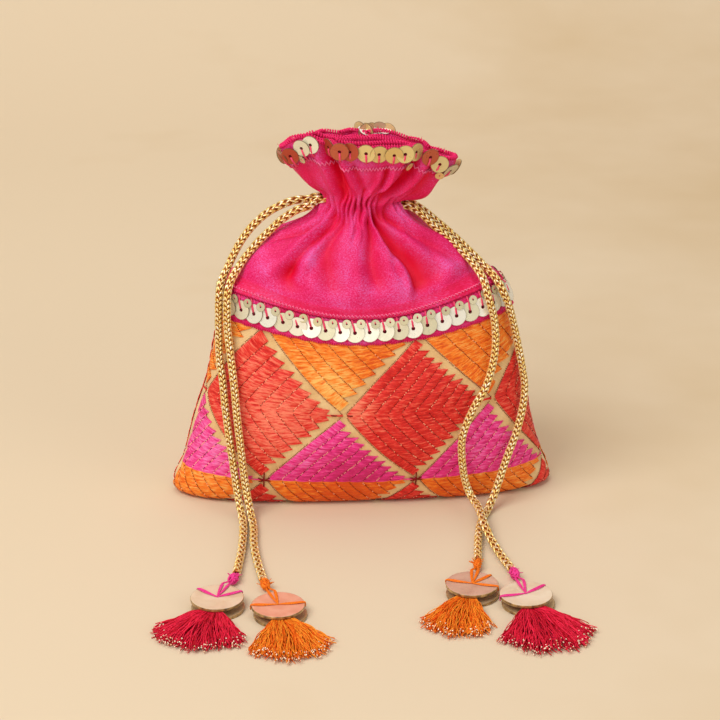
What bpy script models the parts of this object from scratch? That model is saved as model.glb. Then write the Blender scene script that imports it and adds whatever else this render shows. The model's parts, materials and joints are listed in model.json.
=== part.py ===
"""Potli bag: a drawstring pouch that stands on its base.

An embroidered panel makes the lower bag. A tube of plain silk is sewn over its top edge, gathered
at the neck by two drawcords in a casing, and flares above it into a frill round the mouth.
Metres, +Z up, -Y is the front. The origin is on the floor under the middle of the bag.
"""
import math
from functools import lru_cache

import bmesh
import bpy
import numpy as np
from mathutils import Vector

# Main sizes of the bag
BASE_HALF_WIDTH = 0.1113
BASE_HALF_DEPTH = 0.0330
BASE_FLAT_INSET = 0.0060
BASE_ROUND = 0.0040
BASE_SHIFT = 0.0012
BELLY_DEPTH = 0.0105
BELLY_SHIFT = 0.0030
HEM_HEIGHT = 0.1155
HEM_SIDE_RISE = 0.0120
HEM_HALF_WIDTH = 0.0785
HEM_HALF_DEPTH = 0.0345
YOKE_SHIFT = -0.0033
NECK_HEIGHT = 0.1750
NECK_SIDE_RISE = -0.0005
NECK_HALF_WIDTH = 0.0184
NECK_HALF_DEPTH = 0.0136
FRILL_HEIGHT = 0.0330
RIM_HEIGHT = NECK_HEIGHT + FRILL_HEIGHT
RIM_SIDE_RISE = -0.0040
RIM_HALF_WIDTH = 0.0480
RIM_HALF_DEPTH = 0.0195
RIM_SHIFT = 0.0050
RIM_TILT = -0.0050

# Cloth
CLEARANCE = 0.0003
PANEL_WALL = 0.0012
BASE_THICKNESS = 0.0014
LINING_WALL = 0.0006
PANEL_TUCK = 0.0050
YOKE_WALL = 0.0011
YOKE_SKIRT = 0.0010
YOKE_FULLNESS = 0.0019
FRILL_WALL = 0.0017
FOLD_FOLLOW = 0.75

# Each fold of the yoke: its place round the bag as a share of the girth, and its depth.
# Zero is the front centre, a quarter is the right side.
YOKE_FOLDS = (
    (-0.135, 0.0034), (-0.062, 0.0014), (0.018, 0.0022), (0.083, 0.0036), (0.170, 0.0028),
    (0.330, 0.0028), (0.415, 0.0024), (0.500, 0.0030), (0.590, 0.0024), (0.680, 0.0030),
)
YOKE_FOLD_WIDTH = 0.017
FRILL_FOLDS = (
    (-0.115, 0.0050), (-0.030, 0.0020), (0.060, 0.0024), (0.145, 0.0050),
    (0.340, 0.0044), (0.500, 0.0044), (0.650, 0.0044),
)
FRILL_FOLD_WIDTH = 0.026
PLEATS = 20
PLEAT_DEPTH = 0.0018
PLEAT_SPREAD = 0.0085

# Drawcords, their casing in the neck and the slots they leave it by
CORD_DIAMETER = 0.0048
CASED_CORD_DIAMETER = 0.0040
CASING_DEPTH = 0.0030
CASING_BAND_WALL = 0.0008
CASING_BOTTOM = 0.0090
CASING_TOP = 0.0070
UPPER_CORD_HEIGHT = NECK_HEIGHT + 0.0005
LOWER_CORD_HEIGHT = NECK_HEIGHT - 0.0040
EXIT_SPACING = 0.0054
SLOT_EASE = 0.0005
SLOT_REACH = 0.0070

# Sequin laces
SEQUIN_DIAMETER = 0.0110
SEQUIN_THICKNESS = 0.0005
SEQUIN_RAISE = 0.0010
HEM_SEQUINS = 48
MOUTH_SEQUINS = 29
LACE_TAPE = 0.0005
LACE_LIFT = 0.0008
LACE_COLUMNS = 3
HEM_LACE_DEPTH = 0.0128
MOUTH_LACE_DEPTH = 0.0096
BINDING_DIAMETER = 0.0024

# Embroidery lattice
DIAMOND_HALF_WIDTH = 0.0438
DIAMOND_HALF_HEIGHT = 0.0438
LATTICE_SHIFT = -0.0158
SPLIT_ROW_WAY = 0.0215
FLOSS_LIFT = 0.0008
FLOSS_THICKNESS = 0.0006
FLOSS_BANDS = 5
SEAM_GAP = 0.0012
TOOTH_GAP = 0.0032
TOOTH_LENGTH = 0.0075
SIDE_MARGIN = 0.0050
FLOSS_CREASES = (1, 3, 5, 6, 7, 8, 9, 10, 11)
SMALLEST_FLOSS = 0.00012

# Tassels: two discs with a fringe between them, tied to the cord's end by a knot with a thread tail
DISC_DIAMETER = 0.0282
DISC_THICKNESS = 0.0016
LOWER_DISC_SLIP = 0.0020
FRINGE_HEAD = 0.0022
FRINGE_ROOT = 0.0085
FRINGE_BODY = 0.0052
FRINGE_COLUMNS = 13
KNOT_DIAMETER = 0.0060
KNOT_LENGTH = 0.0070
TAIL_DIAMETER = 0.0020
TAIL_LENGTH = 0.0100

# Each tassel: disc centre, where its knot lies from there, where its fringe points, how far the
# fringe spreads to each side (degrees, from +X) and how long it is
TASSELS = {
    "left_outer": ((-0.0861, -0.1545), 70.9, 256.0, 44.0, 0.0440),
    "left_inner": ((-0.0544, -0.1651), 101.7, 279.0, 37.0, 0.0460),
    "right_inner": ((0.0764, -0.1619), 94.2, 279.0, 38.0, 0.0500),
    "right_outer": ((0.0494, -0.1485), 77.3, 248.0, 28.0, 0.0500),
}
TASSEL_THREAD = {
    "left_outer": "pink_thread", "left_inner": "orange_thread",
    "right_inner": "pink_thread", "right_outer": "orange_thread",
}

# The way of each free cord end in millimetres, from outside its slot to short of its knot
CORD_ROUTES = {
    "left_outer": (
        (-28, 2.6, 174.5), (-38.5, 2, 173.6), (-50.5, 1, 168.6), (-60, 0, 161), (-67, -1, 152.5),
        (-72, -3, 144.3), (-76, -7, 137), (-79.4, -12.8, 131.2), (-80.9, -19.2, 124.5),
        (-81.5, -20.8, 108), (-81.5, -23.6, 91), (-80, -28, 77), (-78.8, -32, 60.8), (-76.9, -35.8, 43),
        (-75, -38, 27), (-73.2, -41.5, 13), (-71.6, -48, 5), (-70.6, -57, 2.5), (-70.6, -68, 2.5),
        (-71.2, -81, 2.5), (-72.6, -98, 2.5), (-74.2, -112, 2.6),
    ),
    "left_inner": (
        (-28, -3.2, 172.6), (-36, -3.8, 170), (-44.5, -4.3, 164.8), (-52, -5, 158), (-59, -5.8, 151.2),
        (-65.6, -7.2, 143.8), (-70, -10.2, 138), (-73.8, -15.2, 133), (-76.2, -21, 126.5),
        (-76.8, -24, 115), (-76.4, -25.2, 103.7), (-75.2, -28.8, 91.9), (-73.6, -33.4, 75),
        (-72.4, -36.6, 57.3), (-70.8, -39, 39.7), (-69.3, -41, 24), (-67.6, -44.5, 11.5),
        (-66, -51, 4.4), (-65, -60, 2.5), (-64.8, -70, 2.5), (-65.2, -83, 2.5), (-64.6, -98, 2.5),
        (-63.2, -113, 2.5), (-61.8, -125, 2.6),
    ),
    "right_inner": (
        (30, -3.6, 169.6), (35, -4.8, 166), (40.4, -6, 160.8), (51.3, -7.4, 151.2), (60, -10, 142.6),
        (65.5, -15, 136.5), (68.8, -22, 131.3), (70.8, -27.4, 123), (74, -28.2, 111.5),
        (74.9, -31, 98.1), (73, -35, 85.6), (68.7, -39.4, 73.4), (62.5, -42.4, 63.7), (57.2, -44.4, 52.3),
        (55, -45, 42.8), (55.6, -44.2, 29), (57.6, -43.4, 17.5), (60.2, -44.5, 10), (62.2, -50, 7.8),
        (63.4, -58, 7.9), (63.9, -68, 7.9), (64.5, -79, 7), (66.2, -90, 4.6), (68.8, -103, 2.8),
        (71.6, -117, 2.5),
    ),
    "right_outer": (
        (30, 2.4, 170.3), (36, 1.2, 166.8), (42, 0.4, 161.8), (53, -0.8, 152.2), (63, -2.5, 142.4),
        (70.5, -7, 135.4), (75.6, -13.8, 131.2), (79.3, -20.2, 125.4), (83.7, -21.2, 114.8),
        (87.9, -20.8, 98), (91.6, -22.2, 80), (93.4, -23.5, 66.5), (91.6, -28, 54), (87.7, -32.6, 41.5),
        (82.4, -36.4, 28.4), (77.6, -40, 15.5), (73.8, -44.5, 7), (70, -51.5, 3), (66.6, -59.5, 2.5),
        (63.8, -68.5, 2.5), (61.2, -81, 2.5), (59, -96, 2.5), (57.4, -108, 2.6),
    ),
}
CORD_STEP = 0.0130

# Where the casing's flanges meet the silk, below and above the cords
CASING_FOOT = NECK_HEIGHT - CASING_BOTTOM - 0.0055
CASING_HEAD = NECK_HEIGHT + CASING_TOP + 0.0060

# How finely the forms are faceted
PANEL_COLUMNS = 48
YOKE_COLUMNS = 80

# The bag's outline, each row at a share of the way up its stretch: how much of the change in width
# it has made by then, how far it bulges or flattens in depth, the share of its sideways shift,
# and the corner power of its oval (2 is an ellipse)
BODY_OUTLINE = (
    (0.140, 0.152, 0.46, 0.30, 2.5),
    (0.380, 0.410, 1.00, 0.60, 2.4),
    (0.580, 0.588, 0.96, 1.00, 2.35),
    (0.720, 0.700, 0.70, 1.00, 2.3),
    (0.900, 0.863, 0.30, 0.80, 2.25),
    (1.000, 1.000, 0.00, 0.00, 2.2),
)
YOKE_OUTLINE = (
    (0.060, 0.170, 0.06, 0.60, 2.1),
    (0.160, 0.256, 0.13, 0.80, 2.1),
    (0.330, 0.375, 0.28, 1.00, 2.05),
    (0.500, 0.511, 0.44, 0.95, 2.0),
    (0.660, 0.707, 0.62, 0.50, 2.0),
    (0.800, 0.869, 0.80, 0.00, 2.0),
    (0.920, 0.962, 0.95, 0.00, 2.1),
    (1.000, 1.000, 1.00, 0.00, 2.2),
)
FRILL_OUTLINE = (
    (0.150, 0.090, 0.07, 0.33, 2.1),
    (0.330, 0.450, 0.32, 0.73, 2.0),
    (0.640, 0.790, 0.66, 1.00, 2.0),
    (1.000, 1.000, 1.00, 1.00, 2.0),
)
FRILL_LIFTS = ((-0.160, 0.0055), (0.110, 0.0030), (0.280, -0.0020))
FRILL_LIFT_WIDTH = 0.055


def share(low, high, fraction):
    return low + (high - low) * fraction


def bag_stations():
    """Rows of front height, side rise, sideways shift, tilt, half width, half depth and power."""
    flat_depth = BASE_HALF_DEPTH - BASE_FLAT_INSET
    rows = [
        (0.0, 0.0, BASE_SHIFT, 0.0, BASE_HALF_WIDTH - BASE_FLAT_INSET, flat_depth, 2.6),
        (BASE_ROUND, 0.0, BASE_SHIFT, 0.0, BASE_HALF_WIDTH, BASE_HALF_DEPTH, 2.6),
    ]
    for height, narrowing, bulge, shift, power in BODY_OUTLINE:
        rows.append((HEM_HEIGHT * height, HEM_SIDE_RISE * height ** 1.3,
                     share(BASE_SHIFT * (1.0 - height), BELLY_SHIFT, shift), 0.0,
                     share(BASE_HALF_WIDTH, HEM_HALF_WIDTH, narrowing),
                     share(BASE_HALF_DEPTH, HEM_HALF_DEPTH, height) + BELLY_DEPTH * bulge, power))
    for height, narrowing, flattening, shift, power in YOKE_OUTLINE:
        rows.append((share(HEM_HEIGHT, NECK_HEIGHT, height),
                     share(HEM_SIDE_RISE, NECK_SIDE_RISE, height ** 1.2), YOKE_SHIFT * shift, 0.0,
                     share(HEM_HALF_WIDTH, NECK_HALF_WIDTH, narrowing),
                     share(HEM_HALF_DEPTH, NECK_HALF_DEPTH, flattening), power))
    for height, flare, deepening, shift, power in FRILL_OUTLINE:
        rows.append((share(NECK_HEIGHT, RIM_HEIGHT, height),
                     share(NECK_SIDE_RISE, RIM_SIDE_RISE, height), RIM_SHIFT * shift, RIM_TILT * height,
                     share(NECK_HALF_WIDTH, RIM_HALF_WIDTH, flare),
                     share(NECK_HALF_DEPTH, RIM_HALF_DEPTH, deepening), power))
    return np.array(rows)


STATIONS = bag_stations()


def smooth_row(level):
    """The outline at one level, read from a curve with even tangents through the stations."""
    levels = STATIONS[:, 0]
    level = min(max(level, levels[0]), levels[-1])
    i = int(min(np.searchsorted(levels, level, side="right") - 1, len(levels) - 2))
    span = levels[i + 1] - levels[i]
    f = (level - levels[i]) / span

    def tangent(k):
        if k in (0, len(levels) - 1):
            return np.zeros(7) if k else (STATIONS[1] - STATIONS[0]) / (levels[1] - levels[0])
        before = (STATIONS[k] - STATIONS[k - 1]) / (levels[k] - levels[k - 1])
        after = (STATIONS[k + 1] - STATIONS[k]) / (levels[k + 1] - levels[k])
        total = before + after
        same_way = before * after > 0.0
        return np.where(same_way, 2.0 * before * after / np.where(same_way, total, 1.0), 0.0)

    m0, m1 = tangent(i) * span, tangent(i + 1) * span
    f2, f3 = f * f, f * f * f
    return ((2 * f3 - 3 * f2 + 1) * STATIONS[i] + (f3 - 2 * f2 + f) * m0
            + (3 * f2 - 2 * f3) * STATIONS[i + 1] + (f3 - f2) * m1)


@lru_cache(maxsize=None)
def ring(level):
    """The oval at a level as a fine polyline, with the share of its girth at each point."""
    _, rise, shift, tilt, half_width, half_depth, power = smooth_row(level)
    angle = np.linspace(0.0, 2.0 * math.pi, 721)
    sine, cosine = np.sin(angle), np.cos(angle)
    x = half_width * np.sign(sine) * np.abs(sine) ** (2.0 / power) + shift
    y = -half_depth * np.sign(cosine) * np.abs(cosine) ** (2.0 / power)
    steps = np.hypot(np.diff(x), np.diff(y))
    length = np.concatenate(([0.0], np.cumsum(steps)))
    return x, y, length / length[-1], length[-1], rise, tilt


def girth(level):
    return ring(round(level, 6))[3]


@lru_cache(maxsize=None)
def front_profile():
    """Levels up the panel, and the way over the cloth from the floor to each, at the front."""
    levels = np.linspace(0.0, HEM_HEIGHT, 80)
    places = np.array([surface(float(level), 0.0) for level in levels])
    way = np.concatenate(([0.0], np.cumsum(np.linalg.norm(np.diff(places, axis=0), axis=1))))
    return levels, way


def level_at(way):
    """The level that a way up over the cloth reaches."""
    levels, ways = front_profile()
    return float(np.interp(way, ways, levels))


def way_to(level):
    levels, ways = front_profile()
    return float(np.interp(level, levels, ways))


def surface(level, turn):
    """A point of the bag's plain surface, at a level and a share of a turn from the front."""
    x, y, shares, _, rise, tilt = ring(round(level, 6))
    turn = turn % 1.0
    from_centre = 0.25 - abs(0.25 - turn % 0.5)
    side = math.sin(2.0 * math.pi * turn)
    lift = ease(NECK_HEIGHT, RIM_HEIGHT, level) * creases(FRILL_LIFTS, FRILL_LIFT_WIDTH, turn)
    height = level + rise * ease(0.0, 0.22, from_centre) ** 1.2 + tilt * side * abs(side) + lift
    return Vector((float(np.interp(turn, shares, x)), float(np.interp(turn, shares, y)), height))


def wall(level, turn, offset=0.0):
    """The same point moved out along the surface's normal."""
    step = 0.0005
    low, high = max(level - step, 0.0), min(level + step, RIM_HEIGHT)
    up = surface(high, turn) - surface(low, turn)
    along = surface(level, turn + 0.004) - surface(level, turn - 0.004)
    return surface(level, turn) + along.cross(up).normalized() * offset


def ease(low, high, value):
    f = min(max((value - low) / (high - low), 0.0), 1.0)
    return f * f * (3.0 - 2.0 * f)


def creases(folds, width, turn):
    """How far the cloth is drawn in by a row of folds, at a share of a turn."""
    depth = 0.0
    for place, deep in folds:
        away = (turn - place + 0.5) % 1.0 - 0.5
        depth += deep * math.exp(-(away / width) ** 2)
    return depth


def folds(level, turn):
    """The folds of the yoke and of the frill, without the fine pleats at the neck."""
    mid_yoke = share(HEM_HEIGHT, NECK_HEIGHT, 0.45)
    yoke = ease(HEM_HEIGHT + 0.002, mid_yoke, level) * (1.0 - ease(mid_yoke, NECK_HEIGHT, level))
    frill = ease(NECK_HEIGHT + 0.004, RIM_HEIGHT - 0.006, level)
    return -(yoke * creases(YOKE_FOLDS, YOKE_FOLD_WIDTH, turn)
             + frill * creases(FRILL_FOLDS, FRILL_FOLD_WIDTH, turn))


def pleats(level, turn):
    """The fine gathers that the drawcords pull in at the neck."""
    strength = math.exp(-((level - NECK_HEIGHT) / PLEAT_SPREAD) ** 2)
    return PLEAT_DEPTH * strength * (math.cos(2.0 * math.pi * PLEATS * turn) - 0.35)


def yoke_outside(level, turn):
    return CLEARANCE + YOKE_WALL + folds(level, turn) + pleats(level, turn)


def yoke_inside(level, turn):
    """The cloth's inner face, apart from the neck, where the casing takes its place."""
    tucked = HEM_HEIGHT + PANEL_TUCK
    slack = YOKE_WALL + CLEARANCE - YOKE_FULLNESS
    frill = YOKE_WALL + CLEARANCE - FRILL_WALL
    levels = (tucked + 0.0015, tucked + 0.006, CASING_FOOT, CASING_HEAD)
    offsets = (CLEARANCE, slack, slack, frill)
    return float(np.interp(level, levels, offsets)) + FOLD_FOLLOW * folds(level, turn)


def turns(columns):
    return [k / columns for k in range(columns)]


def surface_ring(level, columns, offset):
    """A ring of points, whose offset is a number or a function of the level and the turn."""
    if callable(offset):
        return [wall(level, turn, offset(level, turn)) for turn in turns(columns)]
    return [wall(level, turn, offset) for turn in turns(columns)]


def casing_ring(columns, inset, above):
    """A ring inside the neck: its waist drawn in by an inset and moved straight up or down."""
    rise = Vector((0.0, 0.0, above))
    return [point + rise for point in surface_ring(NECK_HEIGHT, columns, -inset)]


def material(name, colour, roughness, metallic=0.0):
    made = bpy.data.materials.new(name)
    made.use_nodes = True
    shader = made.node_tree.nodes["Principled BSDF"]
    shader.inputs["Base Color"].default_value = (*colour, 1.0)
    shader.inputs["Roughness"].default_value = roughness
    shader.inputs["Metallic"].default_value = metallic
    made.diffuse_color = (*colour, 1.0)
    return made


def keep(mesh_builder, name, finish, smooth=True):
    """Turn a finished bmesh into an object of the bag, with its normals facing out."""
    bmesh.ops.triangulate(mesh_builder, faces=mesh_builder.faces)
    bmesh.ops.recalc_face_normals(mesh_builder, faces=mesh_builder.faces)
    if mesh_builder.calc_volume(signed=True) < 0.0:
        bmesh.ops.reverse_faces(mesh_builder, faces=mesh_builder.faces)
    mesh = bpy.data.meshes.new(name)
    mesh_builder.to_mesh(mesh)
    mesh_builder.free()
    mesh.materials.append(finish)
    if smooth:
        mesh.shade_smooth()
        mesh.set_sharp_from_angle(angle=math.radians(40))
    thing = bpy.data.objects.new(name, mesh)
    PARTS.objects.link(thing)
    return thing


def bridge(builder, lower, upper):
    """Join two rings of vertices. The upper one may have half as many."""
    count = len(lower)
    if len(upper) == count:
        for k in range(count):
            n = (k + 1) % count
            builder.faces.new((lower[k], lower[n], upper[n], upper[k]))
        return
    if len(upper) > count:
        lower, upper = upper, lower
        count = len(lower)
    for k in range(0, count, 2):
        half, following = k // 2, (k // 2 + 1) % (count // 2)
        builder.faces.new((lower[k], lower[k + 1], upper[half]))
        builder.faces.new((lower[k + 1], lower[(k + 2) % count], upper[following], upper[half]))


def cloth_shell(name, rings, finish, closed_ends):
    """A loft through rings of points, capped at both ends, or closed back on itself."""
    builder = bmesh.new()
    loops = [[builder.verts.new(point) for point in points] for points in rings]
    for lower, upper in zip(loops, loops[1:]):
        bridge(builder, lower, upper)
    if closed_ends:
        builder.faces.new(loops[0])
        builder.faces.new(loops[-1])
    else:
        bridge(builder, loops[-1], loops[0])
    return keep(builder, name, finish)


def flat_at(points, height):
    return [Vector((p.x, p.y, height)) for p in points]


def make_body_panel():
    """Embroidered cloth: side-seamed panel with a flat base, open at the top."""
    top = HEM_HEIGHT + PANEL_TUCK
    walls = [0.0, 0.3 * BASE_ROUND, BASE_ROUND] + [HEM_HEIGHT * row[0] for row in BODY_OUTLINE[:-1]]
    walls.append(top)
    outside = [surface_ring(level, PANEL_COLUMNS, 0.0) for level in walls]
    inside = [surface_ring(level, PANEL_COLUMNS, -PANEL_WALL) for level in walls[:1:-1]]
    inside.append(flat_at(surface_ring(0.0, PANEL_COLUMNS, 0.0), BASE_THICKNESS))
    return cloth_shell("body_panel", outside + inside, FINISH["base_cloth"], True)


def make_lining():
    """The pouch behind the embroidery, which hides the backs of the stitches."""
    columns = PANEL_COLUMNS // 2
    outer = -PANEL_WALL - CLEARANCE
    inner = outer - LINING_WALL
    floor = BASE_THICKNESS + CLEARANCE
    walls = [BASE_ROUND] + [HEM_HEIGHT * row[0] for row in BODY_OUTLINE[:-1]] + [HEM_HEIGHT + PANEL_TUCK]
    foot = surface_ring(0.0, columns, -CLEARANCE - LINING_WALL)
    rings = [flat_at(foot, floor)] + [surface_ring(level, columns, outer) for level in walls]
    rings += [surface_ring(level, columns, inner) for level in reversed(walls)]
    rings.append(flat_at(foot, floor + LINING_WALL))
    return cloth_shell("lining", rings, FINISH["lining_cloth"], True)


def cut(thing, cutter):
    """Cut a cutter's shape out of an object, and hide the cutter in its own collection."""
    CUTTERS.objects.link(cutter)
    cutter.hide_render = True
    cutter.display_type = "WIRE"
    modifier = thing.modifiers.new("cut_" + cutter.name, "BOOLEAN")
    modifier.operation = "DIFFERENCE"
    modifier.solver = "EXACT"
    modifier.object = cutter


def slot_cutter(name, side, height):
    """A flat-sided block with round ends, through the casing wall at one side of the neck."""
    radius = CORD_DIAMETER / 2.0 + SLOT_EASE
    builder = bmesh.new()
    points = []
    for k in range(12):
        angle = 2.0 * math.pi * (k + 0.5) / 12
        shift = math.copysign(EXIT_SPACING / 2.0, math.cos(angle))
        points.append((shift + radius * math.cos(angle), height + radius * math.sin(angle)))
    inner = side * (NECK_HALF_WIDTH - CASING_DEPTH - 0.0025)
    outer = side * (NECK_HALF_WIDTH + 0.02)
    near = [builder.verts.new((inner, y, z)) for y, z in points]
    far = [builder.verts.new((outer, y, z)) for y, z in points]
    builder.faces.new(near)
    builder.faces.new(far)
    bridge(builder, near, far)
    bmesh.ops.recalc_face_normals(builder, faces=builder.faces)
    mesh = bpy.data.meshes.new(name)
    builder.to_mesh(mesh)
    builder.free()
    return bpy.data.objects.new(name, mesh)


def make_yoke():
    """Silk tube from the hem to the rim, with its folds, neck gathers and frill."""
    low, neck, rim = HEM_HEIGHT - YOKE_SKIRT, NECK_HEIGHT, RIM_HEIGHT
    outer = [low] + [share(HEM_HEIGHT, neck, f) for f in (0.06, 0.15, 0.27, 0.40, 0.54, 0.67, 0.80, 0.91)]
    outer += [neck] + [share(neck, rim, f) for f in (0.15, 0.33, 0.57, 0.80, 1.0)]
    half = YOKE_COLUMNS // 2
    rings = [surface_ring(level, half if level < outer[2] else YOKE_COLUMNS, yoke_outside) for level in outer]
    rings += [surface_ring(level, half, yoke_inside) for level in (rim, share(neck, rim, 0.70), CASING_HEAD)]
    rings += [casing_ring(half, CASING_DEPTH, above) for above in (CASING_TOP, -CASING_BOTTOM)]
    inner = [CASING_FOOT] + [share(HEM_HEIGHT, neck, f) for f in (0.56, 0.36, 0.20)]
    inner += [HEM_HEIGHT + PANEL_TUCK + 0.0015, low]
    rings += [surface_ring(level, half, yoke_inside) for level in inner]
    yoke = cloth_shell("yoke_and_frill", rings, FINISH["silk"], False)
    cut(yoke, slot_cutter("left_slot", -1, UPPER_CORD_HEIGHT))
    cut(yoke, slot_cutter("right_slot", 1, LOWER_CORD_HEIGHT))
    return yoke


def make_casing_band():
    """The strip sewn inside the neck, above and below the cords, that closes their casing."""
    columns = YOKE_COLUMNS // 2
    inset = CASING_DEPTH + 2.0 * CLEARANCE + CASED_CORD_DIAMETER

    def flange(level, turn):
        return yoke_inside(level, turn) - 1.5 * CLEARANCE

    def inner_flange(level, turn):
        return flange(level, turn) - CASING_BAND_WALL

    within = inset + CASING_BAND_WALL
    rings = [surface_ring(CASING_FOOT, columns, flange),
             casing_ring(columns, inset, CASING_BAND_WALL - CASING_BOTTOM),
             casing_ring(columns, inset, CASING_TOP),
             surface_ring(CASING_HEAD, columns, flange),
             surface_ring(CASING_HEAD, columns, inner_flange),
             casing_ring(columns, within, CASING_TOP + CASING_BAND_WALL),
             casing_ring(columns, within, -CASING_BOTTOM),
             surface_ring(CASING_FOOT, columns, inner_flange)]
    return cloth_shell("casing_band", rings, FINISH["silk"], False)


def tube(name, points, diameter, finish, sides=2):
    """A round cord through points, as a curve with closed ends."""
    curve = bpy.data.curves.new(name, "CURVE")
    curve.dimensions = "3D"
    curve.bevel_depth = diameter / 2.0
    curve.bevel_resolution = sides
    curve.use_fill_caps = True
    spline = curve.splines.new("POLY")
    spline.points.add(len(points) - 1)
    for place, point in zip(spline.points, points):
        place.co = (*point, 1.0)
    spline.use_smooth = True
    curve.materials.append(finish)
    thing = bpy.data.objects.new(name, curve)
    PARTS.objects.link(thing)
    return thing


def make_cased_cord(name, side, height):
    """The hidden part of a drawcord: once round the neck inside the casing, from one side."""
    inset = CASING_DEPTH + CLEARANCE + CASED_CORD_DIAMETER / 2.0
    spread = EXIT_SPACING / 2.0
    start = (spread + 0.0028) / (girth(NECK_HEIGHT) - 2.0 * math.pi * inset)
    points = []
    steps = 14
    for k in range(steps + 1):
        turn = side * (0.25 + share(start, 1.0 - start, k / steps))
        place = wall(NECK_HEIGHT, turn, -inset)
        points.append((place.x, place.y, height))
    end = side * (NECK_HALF_WIDTH - CASING_DEPTH + CLEARANCE)
    bend = share(points[0][0], end, 0.45)
    points = ([(end, spread, height), (bend, spread + 0.0003, height)] + points
              + [(bend, -spread - 0.0003, height), (end, -spread, height)])
    return tube(name, points, CASED_CORD_DIAMETER, FINISH["gold_cord"])


def make_lace(name, count, tape_level, edge_level, carrier):
    """A tape with a row of overlapping sequins fused to it, each one lapping the next."""
    builder = bmesh.new()
    rows = []
    span = edge_level - tape_level
    for k in range(count):
        for column in range(LACE_COLUMNS):
            phase = (column + 0.02) / (LACE_COLUMNS - 1 + 0.04)
            turn = (k + 0.06 + 0.88 * phase) / count
            scallop = 1.0 - 0.22 * (2.0 * phase - 1.0) ** 2
            edge = tape_level + span * scallop
            back = carrier(tape_level, turn) + LACE_LIFT
            face = back + LACE_TAPE + SEQUIN_THICKNESS
            raised = back + LACE_TAPE + SEQUIN_RAISE * phase + SEQUIN_THICKNESS
            edge_back = carrier(min(edge, RIM_HEIGHT), turn) + LACE_LIFT
            rows.append([builder.verts.new(point) for point in (
                wall(tape_level, turn, back),
                wall(tape_level, turn, face),
                wall(edge, turn, edge_back + raised - back),
                wall(edge, turn, edge_back))])
    for k, row in enumerate(rows):
        following = rows[(k + 1) % len(rows)]
        for i in range(4):
            n = (i + 1) % 4
            builder.faces.new((row[i], row[n], following[n], following[i]))
    return keep(builder, name, FINISH["sequin"], smooth=False)


def make_binding():
    """The bound edge of the mouth, a soft round welt along the rim."""
    columns, sides = YOKE_COLUMNS // 2, 6
    radius = BINDING_DIAMETER / 2.0
    middle = (YOKE_WALL + CLEARANCE + YOKE_WALL + CLEARANCE - FRILL_WALL) / 2.0
    rings = []
    for turn in turns(columns):
        outward = wall(RIM_HEIGHT, turn, 0.001) - wall(RIM_HEIGHT, turn, 0.0)
        outward.z = 0.0
        outward.normalize()
        centre = wall(RIM_HEIGHT, turn, middle + folds(RIM_HEIGHT, turn))
        centre.z += radius + 2.0 * CLEARANCE
        rings.append([centre + outward * radius * math.cos(a) + Vector((0, 0, radius * math.sin(a)))
                      for a in (2.0 * math.pi * (k + 0.5) / sides for k in range(sides))])
    return cloth_shell("mouth_binding", rings, FINISH["silk"], False)


def floss_outline(halves):
    """The edge of one diamond of satin stitch, laid flat: straight on the left, toothed on the
    right, where each band of floss ends in a point. Halves are 1 for the upper, -1 for the lower."""
    half_width = DIAMOND_HALF_WIDTH - SEAM_GAP
    half_height = DIAMOND_HALF_HEIGHT - SEAM_GAP
    parting = SEAM_GAP / 3.0 if len(halves) == 1 else 0.0
    edges = []
    for half in halves:
        edge = [(-half_width, half * parting), (0.0, half * half_height)]
        for k in range(FLOSS_BANDS):
            reach = (k + 1.0) / FLOSS_BANDS
            notch = half_width * reach - TOOTH_GAP - TOOTH_LENGTH
            point = half_width * (reach - 0.5 / FLOSS_BANDS) - TOOTH_GAP
            edge.append((point, half * half_height * (1.0 - reach + 0.5 / FLOSS_BANDS)))
            if k < FLOSS_BANDS - 1:
                edge.append((notch, half * half_height * (1.0 - reach)))
        edge.append((half_width - TOOTH_GAP, half * parting))
        edges.append(edge)
    if len(edges) == 2:
        return edges[0] + edges[1][-2:0:-1]
    return edges[0]


def floss_flat(halves):
    """A diamond, or half of one, as one flat face."""
    builder = bmesh.new()
    face = builder.faces.new([builder.verts.new((x, y, 0.0)) for x, y in floss_outline(halves)])
    face.normal_update()
    if face.normal.z < 0.0:
        face.normal_flip()
    return builder


def keep_largest(builder):
    """Drop the tips that a trimmed edge has left on their own."""
    left, islands = set(builder.faces), []
    while left:
        island, reached = set(), [left.pop()]
        while reached:
            face = reached.pop()
            island.add(face)
            for edge in face.edges:
                for other in edge.link_faces:
                    if other in left:
                        left.remove(other)
                        reached.append(other)
        islands.append(island)
    islands.sort(key=lambda faces: -sum(face.calc_area() for face in faces))
    for island in islands[1:]:
        bmesh.ops.delete(builder, geom=list(island), context="FACES")
    return sum(face.calc_area() for face in islands[0]) if islands else 0.0


def trim(builder, place, outward, clear):
    """Bisect a flat sheet by a line through a place, and drop what lies outside if asked."""
    everything = builder.verts[:] + builder.edges[:] + builder.faces[:]
    bmesh.ops.bisect_plane(builder, geom=everything, plane_co=(*place, 0.0), plane_no=(*outward, 0.0),
                           clear_outer=clear, dist=1e-6)


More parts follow.
